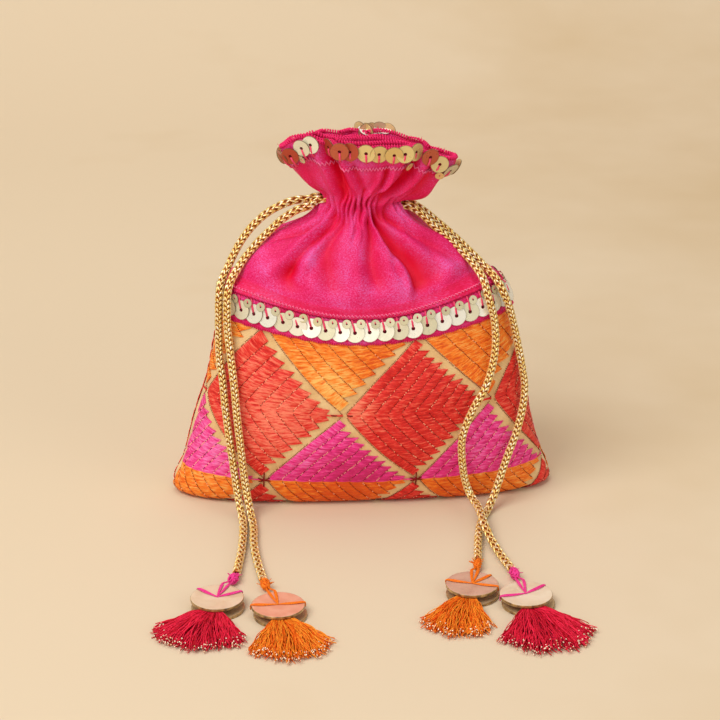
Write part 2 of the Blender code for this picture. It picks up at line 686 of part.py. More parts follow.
def make_floss(name, centre, halves, back, finish):
    """A diamond trimmed to the panel, wrapped onto it and given the thickness of the floss."""
    builder = floss_flat(halves)
    bmesh.ops.translate(builder, verts=builder.verts, vec=(*centre, 0.0))
    low_level = BASE_ROUND
    high_level = HEM_HEIGHT - YOKE_SKIRT - HEM_LACE_DEPTH - 3.0 * CLEARANCE
    low, high = way_to(low_level), way_to(high_level)
    bottom, top = (girth(level) / 4.0 - SIDE_MARGIN for level in (low_level, high_level))
    trim(builder, (0.0, low), (0.0, -1.0), True)
    trim(builder, (0.0, high), (0.0, 1.0), True)
    for side in (-1, 1):
        trim(builder, (side * bottom, low), (side * (high - low), bottom - top), True)
        for column in FLOSS_CREASES:
            foot, head = (girth(level) * column / PANEL_COLUMNS for level in (low_level, high_level))
            trim(builder, (side * foot, low), (side * (high - low), foot - head), False)
    for row in BODY_OUTLINE[:-1]:
        trim(builder, (0.0, way_to(HEM_HEIGHT * row[0])), (0.0, 1.0), False)
    if not builder.faces or keep_largest(builder) < SMALLEST_FLOSS:
        builder.free()
        return None
    loose = [vert for vert in builder.verts if not vert.link_faces]
    bmesh.ops.delete(builder, geom=loose, context="VERTS")
    bmesh.ops.remove_doubles(builder, verts=builder.verts, dist=3e-4)
    bmesh.ops.dissolve_degenerate(builder, edges=builder.edges, dist=1e-5)
    bmesh.ops.solidify(builder, geom=builder.faces[:], thickness=FLOSS_THICKNESS)
    for vert in builder.verts:
        level = level_at(vert.co.y)
        turn = vert.co.x / girth(level) + (0.5 if back else 0.0)
        raised = FLOSS_THICKNESS if abs(vert.co.z) > 0.5 * FLOSS_THICKNESS else 0.0
        vert.co = wall(level, turn, FLOSS_LIFT + raised)
    return keep(builder, name, finish, smooth=False)


def make_embroidery():
    """The lattice on both sides of the bag: rows of red diamonds, and between them rows whose
    diamonds are magenta above and orange below."""
    for back in (False, True):
        side = "back" if back else "front"
        counts = {}
        for row in range(-1, 3):
            split = row % 2 == 0
            way = SPLIT_ROW_WAY + row * DIAMOND_HALF_HEIGHT
            for column in range(-3, 4):
                if (column - row) % 2:
                    continue
                centre = (LATTICE_SHIFT + column * DIAMOND_HALF_WIDTH, way)
                colours = (("magenta", (1,)), ("orange", (-1,))) if split else (("red", (1, -1)),)
                for colour, halves in colours:
                    number = counts.get(colour, 0) + 1
                    name = f"floss_{colour}_{side}_{number}"
                    if make_floss(name, centre, halves, back, FINISH["floss_" + colour]):
                        counts[colour] = number


def smooth_route(points, step):
    """Even steps along a smooth curve through hand-placed points."""
    points = [Vector(point) for point in points]
    padded = [2 * points[0] - points[1]] + points + [2 * points[-1] - points[-2]]
    fine = []
    for a, b, c, d in zip(padded, padded[1:], padded[2:], padded[3:]):
        for k in range(12):
            f = k / 12
            fine.append(0.5 * (2 * b + (c - a) * f + (2 * a - 5 * b + 4 * c - d) * f ** 2
                               + (3 * b - a - 3 * c + d) * f ** 3))
    fine.append(points[-1])
    ways = np.concatenate(([0.0], np.cumsum([(q - p).length for p, q in zip(fine, fine[1:])])))
    count = max(2, round(ways[-1] / step))
    marks = np.linspace(0.0, ways[-1], count + 1)
    return [Vector(tuple(float(np.interp(mark, ways, [p[i] for p in fine])) for i in range(3)))
            for mark in marks]


def heading(degrees):
    return Vector((math.cos(math.radians(degrees)), math.sin(math.radians(degrees)), 0.0))


def tie_start(which):
    """Where the knot begins: the disc's radius, the tail and the knot away from the centre."""
    centre, knot_way = TASSELS[which][:2]
    reach = DISC_DIAMETER / 2.0 + CLEARANCE + TAIL_LENGTH + KNOT_LENGTH
    height = KNOT_DIAMETER / 2.0 + CLEARANCE
    return Vector((*centre, height)) + heading(knot_way) * reach


def make_free_cord(which):
    """A free end of the drawcord, from inside its slot to its knot."""
    side = -1 if which.startswith("left") else 1
    height = UPPER_CORD_HEIGHT if side < 0 else LOWER_CORD_HEIGHT
    spread = EXIT_SPACING / 2.0 * (1 if which.endswith("outer") else -1)
    start = side * (NECK_HALF_WIDTH - CASING_DEPTH + 2.0 * CLEARANCE)
    route = [Vector(point) * 0.001 for point in CORD_ROUTES[which]]
    end = tie_start(which) + heading(TASSELS[which][1]) * 2.0 * CLEARANCE
    leaving = side * (NECK_HALF_WIDTH + SLOT_REACH)
    points = [Vector((start, spread, height))]
    points += smooth_route([Vector((leaving, spread, height))] + route + [end], CORD_STEP)
    return tube(which + "_cord", points, CORD_DIAMETER, FINISH["gold_cord"])


def make_knot(which):
    """A wrapped thread knot and its thin tail, turned about the line from the cord to the disc."""
    sides = 8
    builder = bmesh.new()
    towards = heading(TASSELS[which][1] + 180.0)
    across, up = Vector((-towards.y, towards.x, 0.0)), Vector((0.0, 0.0, 1.0))
    start = tie_start(which)
    tail, ball = TAIL_DIAMETER / 2.0, KNOT_DIAMETER / 2.0
    shape = [(0.0, 0.62 * ball), (0.18, 0.95 * ball), (0.38, 0.86 * ball), (0.56, ball),
             (0.78, 0.80 * ball), (1.0, 0.45 * ball)]
    rows = [(f * KNOT_LENGTH, radius) for f, radius in shape]
    rows += [(KNOT_LENGTH + 0.3 * TAIL_LENGTH, tail), (KNOT_LENGTH + TAIL_LENGTH, tail)]
    loops = []
    for way, radius in rows:
        loops.append([builder.verts.new(start + towards * way
                                        + (across * math.cos(a) + up * math.sin(a)) * radius)
                      for a in (2.0 * math.pi * k / sides for k in range(sides))])
    for lower, upper in zip(loops, loops[1:]):
        bridge(builder, lower, upper)
    builder.faces.new(loops[0])
    builder.faces.new(loops[-1])
    return keep(builder, which + "_knot", FINISH[TASSEL_THREAD[which]])


def make_disc(name, centre, bottom):
    bpy.ops.mesh.primitive_cylinder_add(vertices=24, radius=DISC_DIAMETER / 2.0, depth=DISC_THICKNESS,
                                        location=(centre.x, centre.y, bottom + DISC_THICKNESS / 2.0))
    disc = bpy.context.object
    disc.name = disc.data.name = name
    for collection in disc.users_collection:
        collection.objects.unlink(disc)
    PARTS.objects.link(disc)
    disc.data.materials.append(FINISH["disc"])
    disc.data.shade_smooth()
    disc.data.set_sharp_from_angle(angle=math.radians(40))
    return disc


def make_fringe(which):
    """A fan of cut threads: its root lies flat between the discs, and its body on the floor."""
    centre, _, points_to, spread, length = TASSELS[which]
    root = Vector((*centre, 0.0)) + heading(points_to) * FRINGE_ROOT
    flat_low = DISC_THICKNESS + CLEARANCE
    flat_high = flat_low + FRINGE_HEAD
    inside = DISC_DIAMETER / 2.0 + LOWER_DISC_SLIP - FRINGE_ROOT + 0.0022
    builder = bmesh.new()
    top, under = [], []
    for k in range(FRINGE_COLUMNS):
        across = 2.0 * k / (FRINGE_COLUMNS - 1) - 1.0
        way = heading(points_to + across * spread)
        ridge = 0.0006 if k % 2 else -0.0004
        reach = length * (1.0 - 0.20 * across ** 2) + (0.0012 if k % 2 else -0.0016)
        crown = FRINGE_BODY * (1.0 - 0.25 * across ** 2)
        rows = ((-0.0030, flat_low, flat_high), (inside, flat_low, flat_high),
                (inside + 0.0060, 0.0008, crown + ridge), (0.70 * reach, 0.0003, crown + ridge),
                (reach, 0.0003, 0.45 * crown))
        narrow = Vector((-math.sin(math.radians(points_to)), math.cos(math.radians(points_to)), 0.0))
        start = root + narrow * across * 0.0035
        top.append([builder.verts.new(start + way * r + Vector((0, 0, high))) for r, low, high in rows])
        under.append([builder.verts.new(start + way * r + Vector((0, 0, low))) for r, low, high in rows])
    for sheet in (top, under):
        for a, b in zip(sheet, sheet[1:]):
            for i in range(len(a) - 1):
                builder.faces.new((a[i], a[i + 1], b[i + 1], b[i]))
    for a, b in ((top[0], under[0]), (top[-1], under[-1])):
        for i in range(len(a) - 1):
            builder.faces.new((a[i], a[i + 1], b[i + 1], b[i]))
    for i in (0, -1):
        for k in range(FRINGE_COLUMNS - 1):
            builder.faces.new((top[k][i], top[k + 1][i], under[k + 1][i], under[k][i]))
    return keep(builder, which + "_fringe", FINISH[TASSEL_THREAD[which]], smooth=False)


def make_tassel(which):
    centre = Vector((*TASSELS[which][0], 0.0))
    slip = heading(TASSELS[which][2] + 25.0) * LOWER_DISC_SLIP
    make_disc(which + "_lower_disc", centre + slip, 0.0)
    make_disc(which + "_upper_disc", centre, DISC_THICKNESS + FRINGE_HEAD + 2.0 * CLEARANCE)
    make_fringe(which)
    make_knot(which)


def clear_scene():
    for thing in list(bpy.data.objects):
        bpy.data.objects.remove(thing, do_unlink=True)


clear_scene()
PARTS = bpy.data.collections.new("potli_bag")
CUTTERS = bpy.data.collections.new("cutters")
for collection in (PARTS, CUTTERS):
    bpy.context.scene.collection.children.link(collection)

FINISH = {
    "base_cloth": material("tan_cotton", (0.73, 0.47, 0.18), 0.85),
    "lining_cloth": material("lining_cotton", (0.75, 0.45, 0.30), 0.9),
    "silk": material("pink_silk", (0.80, 0.01, 0.15), 0.55),
    "gold_cord": material("gold_cord", (0.75, 0.47, 0.11), 0.35, 0.8),
    "sequin": material("champagne_sequin", (0.62, 0.57, 0.38), 0.25, 1.0),
    "floss_red": material("red_floss", (0.65, 0.02, 0.03), 0.45),
    "floss_orange": material("orange_floss", (0.91, 0.16, 0.01), 0.45),
    "floss_magenta": material("magenta_floss", (0.58, 0.01, 0.26), 0.45),
    "pink_thread": material("pink_thread", (0.69, 0.005, 0.08), 0.6),
    "orange_thread": material("orange_thread", (0.95, 0.24, 0.01), 0.6),
    "disc": material("pearl_disc", (0.72, 0.56, 0.40), 0.35, 0.3),
}

make_body_panel()
make_lining()
make_yoke()
make_casing_band()
make_cased_cord("left_cased_cord", -1, UPPER_CORD_HEIGHT)
make_cased_cord("right_cased_cord", 1, LOWER_CORD_HEIGHT)
hem_edge = HEM_HEIGHT - YOKE_SKIRT - CLEARANCE
make_lace("hem_trim", HEM_SEQUINS, hem_edge, hem_edge - HEM_LACE_DEPTH,
          lambda level, turn: 0.0)
make_lace("mouth_trim", MOUTH_SEQUINS, RIM_HEIGHT - MOUTH_LACE_DEPTH, RIM_HEIGHT - CLEARANCE,
          yoke_outside)
make_binding()
make_embroidery()
for which_cord in CORD_ROUTES:
    make_free_cord(which_cord)
    make_tassel(which_cord)
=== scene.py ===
# %% [markdown]
# # A potli bag in Blender
# A potli is a drawstring pouch. This one has an embroidered lower bag, a plain silk top gathered by
# two gold cords, sequin laces, and tassels made of shell discs and thread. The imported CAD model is
# loaded first and stays fixed: it gives the sizes, and every piece below is made to lie on it.

# %% Load the frame
import json
import math

import bmesh
import bpy
import numpy as np
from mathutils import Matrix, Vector

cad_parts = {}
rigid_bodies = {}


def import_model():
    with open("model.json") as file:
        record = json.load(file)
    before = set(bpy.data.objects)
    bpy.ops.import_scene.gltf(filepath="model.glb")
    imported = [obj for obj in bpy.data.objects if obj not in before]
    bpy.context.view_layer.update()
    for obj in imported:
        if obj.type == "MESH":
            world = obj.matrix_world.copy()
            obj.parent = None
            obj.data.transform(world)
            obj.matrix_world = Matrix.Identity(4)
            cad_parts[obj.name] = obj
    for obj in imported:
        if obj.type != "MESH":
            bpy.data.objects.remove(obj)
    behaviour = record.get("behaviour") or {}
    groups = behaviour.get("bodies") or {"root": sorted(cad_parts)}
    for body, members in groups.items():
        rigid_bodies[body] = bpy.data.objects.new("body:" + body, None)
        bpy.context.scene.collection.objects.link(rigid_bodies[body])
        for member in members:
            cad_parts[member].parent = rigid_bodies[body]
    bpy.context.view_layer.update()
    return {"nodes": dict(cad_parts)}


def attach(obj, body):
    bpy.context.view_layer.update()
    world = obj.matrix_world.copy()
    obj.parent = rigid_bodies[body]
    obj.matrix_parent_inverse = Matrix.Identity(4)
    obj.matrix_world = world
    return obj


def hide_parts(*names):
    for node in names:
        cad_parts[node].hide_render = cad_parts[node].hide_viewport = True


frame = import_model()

# %% [markdown]
# ## Camera
# The photo looks down on the bag at about 21 degrees, from a little left of its middle. A long lens
# keeps the sides almost parallel, as in a product photo. The camera's place and its two angles were
# worked out together, from where points of the bag stand in the photo, and are set as they came out.

# %% Camera
CAMERA_PLACE = Vector((-0.08254927, -1.18050956, 0.54283875))
CAMERA_TURN, CAMERA_DIP = math.radians(-4.0), math.radians(21.5)
SENSOR_WIDTH, FOCAL_LENGTH = 36.0, 109.32
camera_data = bpy.data.cameras.new("camera")
camera_data.sensor_width = SENSOR_WIDTH
camera_data.lens = FOCAL_LENGTH
camera = bpy.data.objects.new("camera", camera_data)
camera.location = CAMERA_PLACE
camera.rotation_euler = (math.pi / 2.0 - CAMERA_DIP, 0.0, CAMERA_TURN)
bpy.context.scene.collection.objects.link(camera)
bpy.context.scene.camera = camera
print("camera dips", round(math.degrees(CAMERA_DIP), 1), "degrees")

# %% [markdown]
# ## Small helpers
# Hex colours are written as a picture shows them, and one function turns them into the linear
# values that a shader needs. Others start a material and add a shader node with its settings and
# links. The rest turn points and faces into a piece of the bag, finish it with modifiers, and let
# it ride on the frame's only body.

# %% Colours and shader nodes
def linear(hex_colour):
    """An sRGB hex colour as linear RGBA."""
    parts = [int(hex_colour[i:i + 2], 16) / 255.0 for i in (1, 3, 5)]
    return tuple(p / 12.92 if p <= 0.04045 else ((p + 0.055) / 1.055) ** 2.4 for p in parts) + (1.0,)


def feed(source, target):
    """Links an output, or the first output of a node, to an input of the same node tree."""
    output = source.outputs[0] if isinstance(source, bpy.types.Node) else source
    target.id_data.links.new(output, target)


def add_node(tree, kind, inputs=None, ramp=None, **settings):
    """Adds a shader node. Inputs are values, or the nodes or outputs that feed them. A Math
    node adds its two inputs unless an operation is named."""
    made = tree.nodes.new("ShaderNode" + kind)
    for name, value in settings.items():
        setattr(made, name, value)
    for name, value in (inputs or {}).items():
        if isinstance(value, (bpy.types.Node, bpy.types.NodeSocket)):
            feed(value, made.inputs[name])
        else:
            made.inputs[name].default_value = value
    for k, (position, colour) in enumerate(ramp or ()):
        elements = made.color_ramp.elements
        element = elements[k] if k < len(elements) else elements.new(position)
        element.position = position
        element.color = linear(colour)
    return made


def start_material(name, **values):
    """A new material, its node tree and its main shader, with plain values set on the shader."""
    made = bpy.data.materials.new(name)
    made.use_nodes = True
    shader = made.node_tree.nodes["Principled BSDF"]
    for socket, value in values.items():
        shader.inputs[socket.replace("_", " ")].default_value = value
    return made, made.node_tree, shader


# %% Pieces from points and faces
def corner_points(mesh):
    """The number of the point at each corner of each face."""
    numbers = np.empty(len(mesh.loops), int)
    mesh.loops.foreach_get("vertex_index", numbers)
    return numbers


def point_places(mesh):
    """The places of a mesh's points as an array."""
    places = np.empty(len(mesh.vertices) * 3)
    mesh.vertices.foreach_get("co", places)
    return places.reshape(-1, 3)


def new_piece(name, points, faces, material, uvs=None, smooth=True):
    """A mesh object from arrays. UVs are one pair a point, in metres over the cloth."""
    mesh = bpy.data.meshes.new(name)
    mesh.from_pydata([tuple(p) for p in np.asarray(points, float)], [], [tuple(f) for f in faces])
    if uvs is not None:
        layer = mesh.uv_layers.new(name="cloth")
        layer.data.foreach_set("uv", np.asarray(uvs, np.float32)[corner_points(mesh)].ravel())
    mesh.materials.append(material)
    thing = bpy.data.objects.new(name, mesh)
    bpy.context.scene.collection.objects.link(thing)
    if smooth:
        mesh.shade_smooth()
    return thing


def above_floor(points):
    """Thread that the bag or a cord stands on is pressed flat by it."""
    points = np.array(points, float)
    points[:, 2] = np.maximum(points[:, 2], 0.0)
    return points


# %% Selecting and finishing
def select_only(thing):
    """An operator acts on all that is selected, so everything else is deselected first."""
    bpy.ops.object.select_all(action="DESELECT")
    bpy.context.view_layer.objects.active = thing
    thing.select_set(True)


def edit_faces(thing, wanted):
    """Opens an object in edit mode with only the wanted faces selected."""
    bpy.ops.object.mode_set(mode="EDIT")
    bpy.ops.mesh.select_mode(type="FACE")
    bpy.ops.mesh.select_all(action="DESELECT")
    bpy.ops.object.mode_set(mode="OBJECT")
    for face in thing.data.polygons:
        face.select = wanted(face)
    bpy.ops.object.mode_set(mode="EDIT")


def finish_with(thing, kind, **settings):
    """Adds one modifier and applies it at once."""
    select_only(thing)
    modifier = thing.modifiers.new(kind.lower(), kind)
    for name, value in settings.items():
        setattr(modifier, name, value)
    bpy.ops.object.modifier_apply(modifier=modifier.name)


def smooth_up_to(thing, degrees):
    """Smooth shading, with edges sharper than an angle kept crisp."""
    select_only(thing)
    bpy.ops.object.shade_smooth_by_angle(angle=math.radians(degrees))


def set_attribute(thing, name, values):
    """Stores one number a point, which a material can read."""
    layer = thing.data.attributes.new(name, "FLOAT", "POINT")
    layer.data.foreach_set("value", np.asarray(values, np.float32))


def join_frame(thing, slot, *nodes):
    """The piece rides on the bag and stands for CAD nodes, which are hidden. The slot is not used."""
    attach(thing, "root")
    if nodes:
        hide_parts(*nodes)
    print(thing.name, len(thing.data.vertices), "points")
    return thing


# %% [markdown]
# ## Drawcords
# The cords come first, because where they lie is given: each is one smooth route through listed points,
# the same as the CAD model's. A knitted metallic cord shows rows of small slanted stitches that meet in
# a V. A round core with leaf-shaped stitches placed along the route gives that, and bends with it.

# %% Cord routes
EXIT_SPACING = 0.0054
NECK_HALF_WIDTH = 0.0184
CASING_DEPTH = 0.003
CLEARANCE = 0.0003
SLOT_REACH = 0.007
UPPER_CORD_HEIGHT, LOWER_CORD_HEIGHT = 0.1755, 0.171
DISC_DIAMETER, DISC_THICKNESS = 0.0282, 0.0016
KNOT_DIAMETER, KNOT_LENGTH, TAIL_LENGTH = 0.006, 0.007, 0.01
# In millimetres, from just outside the neck to the tassels
CORD_ROUTES = {
    "left_outer": (
        (-28, 2.6, 174.5), (-38.5, 2, 173.6), (-50.5, 1, 168.6), (-60, 0, 161), (-67, -1, 152.5),
        (-72, -3, 144.3), (-76, -7, 137), (-79.4, -12.8, 131.2), (-80.9, -19.2, 124.5),
        (-81.5, -20.8, 108), (-81.5, -23.6, 91), (-80, -28, 77), (-78.8, -32, 60.8), (-76.9, -35.8, 43),
        (-75, -38, 27), (-73.2, -41.5, 13), (-71.6, -48, 5), (-70.6, -57, 2.5), (-70.6, -68, 2.5),
        (-71.2, -81, 2.5), (-72.6, -98, 2.5), (-74.2, -112, 2.6),
    ),
    "left_inner": (
        (-28, -3.2, 172.6), (-36, -3.8, 170), (-44.5, -4.3, 164.8), (-52, -5, 158), (-59, -5.8, 151.2),
        (-65.6, -7.2, 143.8), (-70, -10.2, 138), (-73.8, -15.2, 133), (-76.2, -21, 126.5),
        (-76.8, -24, 115), (-76.4, -25.2, 103.7), (-75.2, -28.8, 91.9), (-73.6, -33.4, 75),
        (-72.4, -36.6, 57.3), (-70.8, -39, 39.7), (-69.3, -41, 24), (-67.6, -44.5, 11.5),
        (-66, -51, 4.4), (-65, -60, 2.5), (-64.8, -70, 2.5), (-65.2, -83, 2.5), (-64.6, -98, 2.5),
        (-63.2, -113, 2.5), (-61.8, -125, 2.6),
    ),
    "right_inner": (
        (30, -3.6, 169.6), (35, -4.8, 166), (40.4, -6, 160.8), (51.3, -7.4, 151.2), (60, -10, 142.6),
        (65.5, -15, 136.5), (68.8, -22, 131.3), (70.8, -27.4, 123), (74, -28.2, 111.5),
        (74.9, -31, 98.1), (73, -35, 85.6), (68.7, -39.4, 73.4), (62.5, -42.4, 63.7), (57.2, -44.4, 52.3),
        (55, -45, 42.8), (55.6, -44.2, 29), (57.6, -43.4, 17.5), (60.2, -44.5, 10), (62.2, -50, 7.8),
        (63.4, -58, 7.9), (63.9, -68, 7.9), (64.5, -79, 7), (66.2, -90, 4.6), (68.8, -103, 2.8),
        (71.6, -117, 2.5),
    ),
    "right_outer": (
        (30, 2.4, 170.3), (36, 1.2, 166.8), (42, 0.4, 161.8), (53, -0.8, 152.2), (63, -2.5, 142.4),
        (70.5, -7, 135.4), (75.6, -13.8, 131.2), (79.3, -20.2, 125.4), (83.7, -21.2, 114.8),
        (87.9, -20.8, 98), (91.6, -22.2, 80), (93.4, -23.5, 66.5), (91.6, -28, 54), (87.7, -32.6, 41.5),
        (82.4, -36.4, 28.4), (77.6, -40, 15.5), (73.8, -44.5, 7), (70, -51.5, 3), (66.6, -59.5, 2.5),
        (63.8, -68.5, 2.5), (61.2, -81, 2.5), (59, -96, 2.5), (57.4, -108, 2.6),
    ),
}

# Each tassel: disc centre, where its knot lies from there, where its fringe points, how far the
# fringe spreads to each side (degrees, from +X) and how long it is
TASSELS = {
    "left_outer": ((-0.0861, -0.1545), 70.9, 256.0, 44.0, 0.044),
    "left_inner": ((-0.0544, -0.1651), 101.7, 279.0, 37.0, 0.046),
    "right_inner": ((0.0764, -0.1619), 94.2, 279.0, 38.0, 0.05),
    "right_outer": ((0.0494, -0.1485), 77.3, 248.0, 28.0, 0.05),
}


# %% From listed points to a smooth route
def heading(degrees):
    """A level way of length 1, in degrees from +X as seen from above."""
    return np.array((math.cos(math.radians(degrees)), math.sin(math.radians(degrees)), 0.0))


def tie_start(which):
    """Where the knot begins, seen from the disc it is tied to."""
    centre, knot_way = TASSELS[which][:2]
    reach = DISC_DIAMETER / 2.0 + CLEARANCE + TAIL_LENGTH + KNOT_LENGTH
    return np.array((*centre, KNOT_DIAMETER / 2.0 + CLEARANCE)) + heading(knot_way) * reach


def ways_along(points):
    """How far each point lies along a line of points."""
    return np.concatenate(([0.0], np.cumsum(np.linalg.norm(np.diff(points, axis=0), axis=1))))


def read_along(points, ways, marks):
    """Places at marks on a line whose points lie at ways."""
    return np.stack([np.interp(marks, ways, values) for values in points.T], axis=1)


def smooth_route(points, step):
    """Even steps along a smooth curve through given points."""
    points = np.asarray(points, float)
    padded = np.vstack((2 * points[0] - points[1], points, 2 * points[-1] - points[-2]))
    f = np.linspace(0.0, 1.0, 25)[:-1, None]
    fine = [0.5 * (2 * b + (c - a) * f + (2 * a - 5 * b + 4 * c - d) * f ** 2
                   + (3 * b - a - 3 * c + d) * f ** 3)
            for a, b, c, d in zip(padded, padded[1:], padded[2:], padded[3:])]
    fine = np.vstack(fine + [points[-1:]])
    ways = ways_along(fine)
    return read_along(fine, ways, np.linspace(0.0, ways[-1], max(3, round(ways[-1] / step) + 1)))


def exit_place(which, beyond=0.0):
    """Where a cord passes through the side of the neck, or a place so far beyond it."""
    side = -1 if which.startswith("left") else 1
    spread = EXIT_SPACING / 2.0 * (1 if which.endswith("outer") else -1)
    height = UPPER_CORD_HEIGHT if side < 0 else LOWER_CORD_HEIGHT
    return side * (NECK_HALF_WIDTH + beyond), spread, height


def cord_route(which, step):
    """The centre of a free cord end, from inside its slot to its knot."""
    start = exit_place(which, 2.0 * CLEARANCE - CASING_DEPTH)
    leaving = exit_place(which, SLOT_REACH)
    route = [np.array(point) * 0.001 for point in CORD_ROUTES[which]]
    end = tie_start(which) + heading(TASSELS[which][1]) * 2.0 * CLEARANCE
    return smooth_route([start, leaving] + route + [end], step)


# %% [markdown]
# ## The cord's finish
# The cord is knitted from yarn of metal film: metallic, with a fairly low roughness, from pale gold
# on the crown of each stitch to brown in the gaps. The brown is painted shade in the gaps, which makes
# the knitted pattern readable, so an attribute of the mesh says how far out each point stands.

# %% Metallised gold yarn
gold_yarn, tree, shader = start_material("metallised_gold_yarn", Metallic=0.55)
coords = add_node(tree, "TexCoord").outputs["Object"]
fibres = add_node(tree, "TexNoise", {"Vector": coords, "Scale": 700.0, "Detail": 3.0})
tone = add_node(
    tree, "ValToRGB", {"Fac": fibres}, ramp=((0.3, "#E6B850"), (0.48, "#FBE496"), (0.66, "#FFFFF0")))
crown = add_node(tree, "Attribute", attribute_name="crown")
# Painted shade: the gaps between stitches are darkened to brown, the crowns keep the yarn's gold
stitch_gap_shade = add_node(tree, "ValToRGB", {"Fac": crown.outputs["Fac"]},
                      ramp=((0.1, "#984A12"), (0.42, "#E6BC78"), (0.75, "#FFFFFF")))
# On a Mix node set to colour, socket 6 is A, socket 7 is B and output 2 is the result
mixed = add_node(tree, "Mix", {0: 1.0, 6: tone, 7: stitch_gap_shade}, data_type="RGBA", blend_type="MULTIPLY")
rough = add_node(tree, "MapRange", {"Value": fibres, "To Min": 0.24, "To Max": 0.46})
feed(mixed.outputs[2], shader.inputs["Base Color"])
feed(rough, shader.inputs["Roughness"])

# %% One leaf-shaped stitch
STITCH_LENGTH, STITCH_WIDTH, STITCH_HEIGHT = 0.0034, 0.00132, 0.0018
LEAF_SIDES = 6
# The stitch lies along X: its place along, its width and its height at five stations, as shares
LEAF = ((-1.0, 0.0, 0.0), (-0.55, 0.74, 0.8), (0.05, 1.0, 1.0), (0.62, 0.66, 0.78), (1.0, 0.0, 0.0))


def faces_between(rings, sides, first=0):
    """The four-sided faces between rings of points, which are numbered from the first."""
    return [(first + r * sides + k, first + r * sides + (k + 1) % sides,
             first + (r + 1) * sides + (k + 1) % sides, first + (r + 1) * sides + k)
            for r in range(rings - 1) for k in range(sides)]


def leaf_mesh(length, width, height):
    """Points and faces of one stitch, with how far out each point stands."""
    points, outness = [], []
    for along, wide, high in LEAF:
        for k in range(LEAF_SIDES if wide else 1):
            a = 2.0 * math.pi / LEAF_SIDES * k
            points.append(
                (along * length / 2.0, math.cos(a) * wide * width / 2.0, math.sin(a) * high * height / 2.0))
            stands_out = (0.5 + 0.5 * math.sin(a) * high) * (1.0 - 0.55 * abs(along) ** 1.5)
            outness.append(stands_out if wide else 0.1)
    rings = len(LEAF) - 2
    last = len(points) - 1
    first_of_end = last - LEAF_SIDES
    faces = [(0, 1 + (k + 1) % LEAF_SIDES, 1 + k) for k in range(LEAF_SIDES)]
    faces += faces_between(rings, LEAF_SIDES, 1)
    faces += [(first_of_end + k, first_of_end + (k + 1) % LEAF_SIDES, last) for k in range(LEAF_SIDES)]
    return np.array(points), faces, np.array(outness)


# %% Tubes and copies
TOWARDS_VIEWER = np.array((0.05, -0.92, 0.38))


def unit(vectors):
    """Vectors brought to length 1."""
    return vectors / np.maximum(np.linalg.norm(vectors, axis=-1, keepdims=True), 1e-12)


def frames_along(points, facing=TOWARDS_VIEWER):
    """Tangent, facing side and cross side at each point of a route."""
    tangent = unit(np.gradient(points, axis=0))
    face = unit(facing - (tangent @ facing)[:, None] * tangent)
    return tangent, face, np.cross(tangent, face)


def repeat_mesh(points, faces, origins, axes):
    """Copies a small mesh to many places, each with its own three axes, as one set of arrays."""
    origins, axes = np.asarray(origins), np.asarray(axes)
    placed = origins[:, None, :] + np.einsum("pk,nkc->npc", points, axes)
    shifted = [tuple(index + n * len(points) for index in face)
               for n in range(len(origins)) for face in faces]
    return placed.reshape(-1, 3), shifted


def tube_mesh(points, radius, sides, facing=TOWARDS_VIEWER):
    """A closed round tube along points. The radius may change from point to point."""
    points = np.asarray(points, float)
    _, face, cross = frames_along(points, facing)
    radii = np.broadcast_to(radius, len(points))[:, None, None]
    angles = 2.0 * math.pi * np.arange(sides) / sides
    ring = np.cos(angles)[None, :, None] * face[:, None] + np.sin(angles)[None, :, None] * cross[:, None]
    placed = (points[:, None] + ring * radii).reshape(-1, 3)
    faces = faces_between(len(points), sides)
    faces.append(tuple(range(sides))[::-1])
    faces.append(tuple((len(points) - 1) * sides + k for k in range(sides)))
    return placed, faces


def merge_meshes(parts):
    """Several (points, faces) pairs as one."""
    points, faces, start = [], [], 0
    for part_points, part_faces in parts:
        points.append(part_points)
        faces += [tuple(index + start for index in face) for face in part_faces]
        start += len(part_points)
    return np.vstack(points), faces


# %% Where the stitches sit along a cord
STITCH_COLUMNS = 8
STITCH_ROW = 0.0026
STITCH_LEAN = math.radians(24.0)
CORE_RADIUS, CORE_SIDES = 0.00152, 10
# On the floor a cord is seen nearly end on, where stitches of the true length would hide the gaps
# between them, so they are drawn longer there
FLAT_STRETCH = 1.2


def stitch_marks(fine):
    """A place every half row along a fine route, and how much longer the stitch there is drawn."""
    slope = np.abs(unit(np.gradient(fine, axis=0))[:, 2])
    pitch = STITCH_ROW / 2.0 * (1.0 + FLAT_STRETCH * (1.0 - slope))
    gaps = np.linalg.norm(np.diff(fine, axis=0), axis=1)
    counted = np.concatenate(([0.0], np.cumsum(gaps / pitch[:-1])))
    marks = np.linspace(0.0, counted[-1], round(counted[-1]) + 1)
    return read_along(fine, counted, marks), np.interp(marks, counted, pitch)[:, None] / (STITCH_ROW / 2.0)


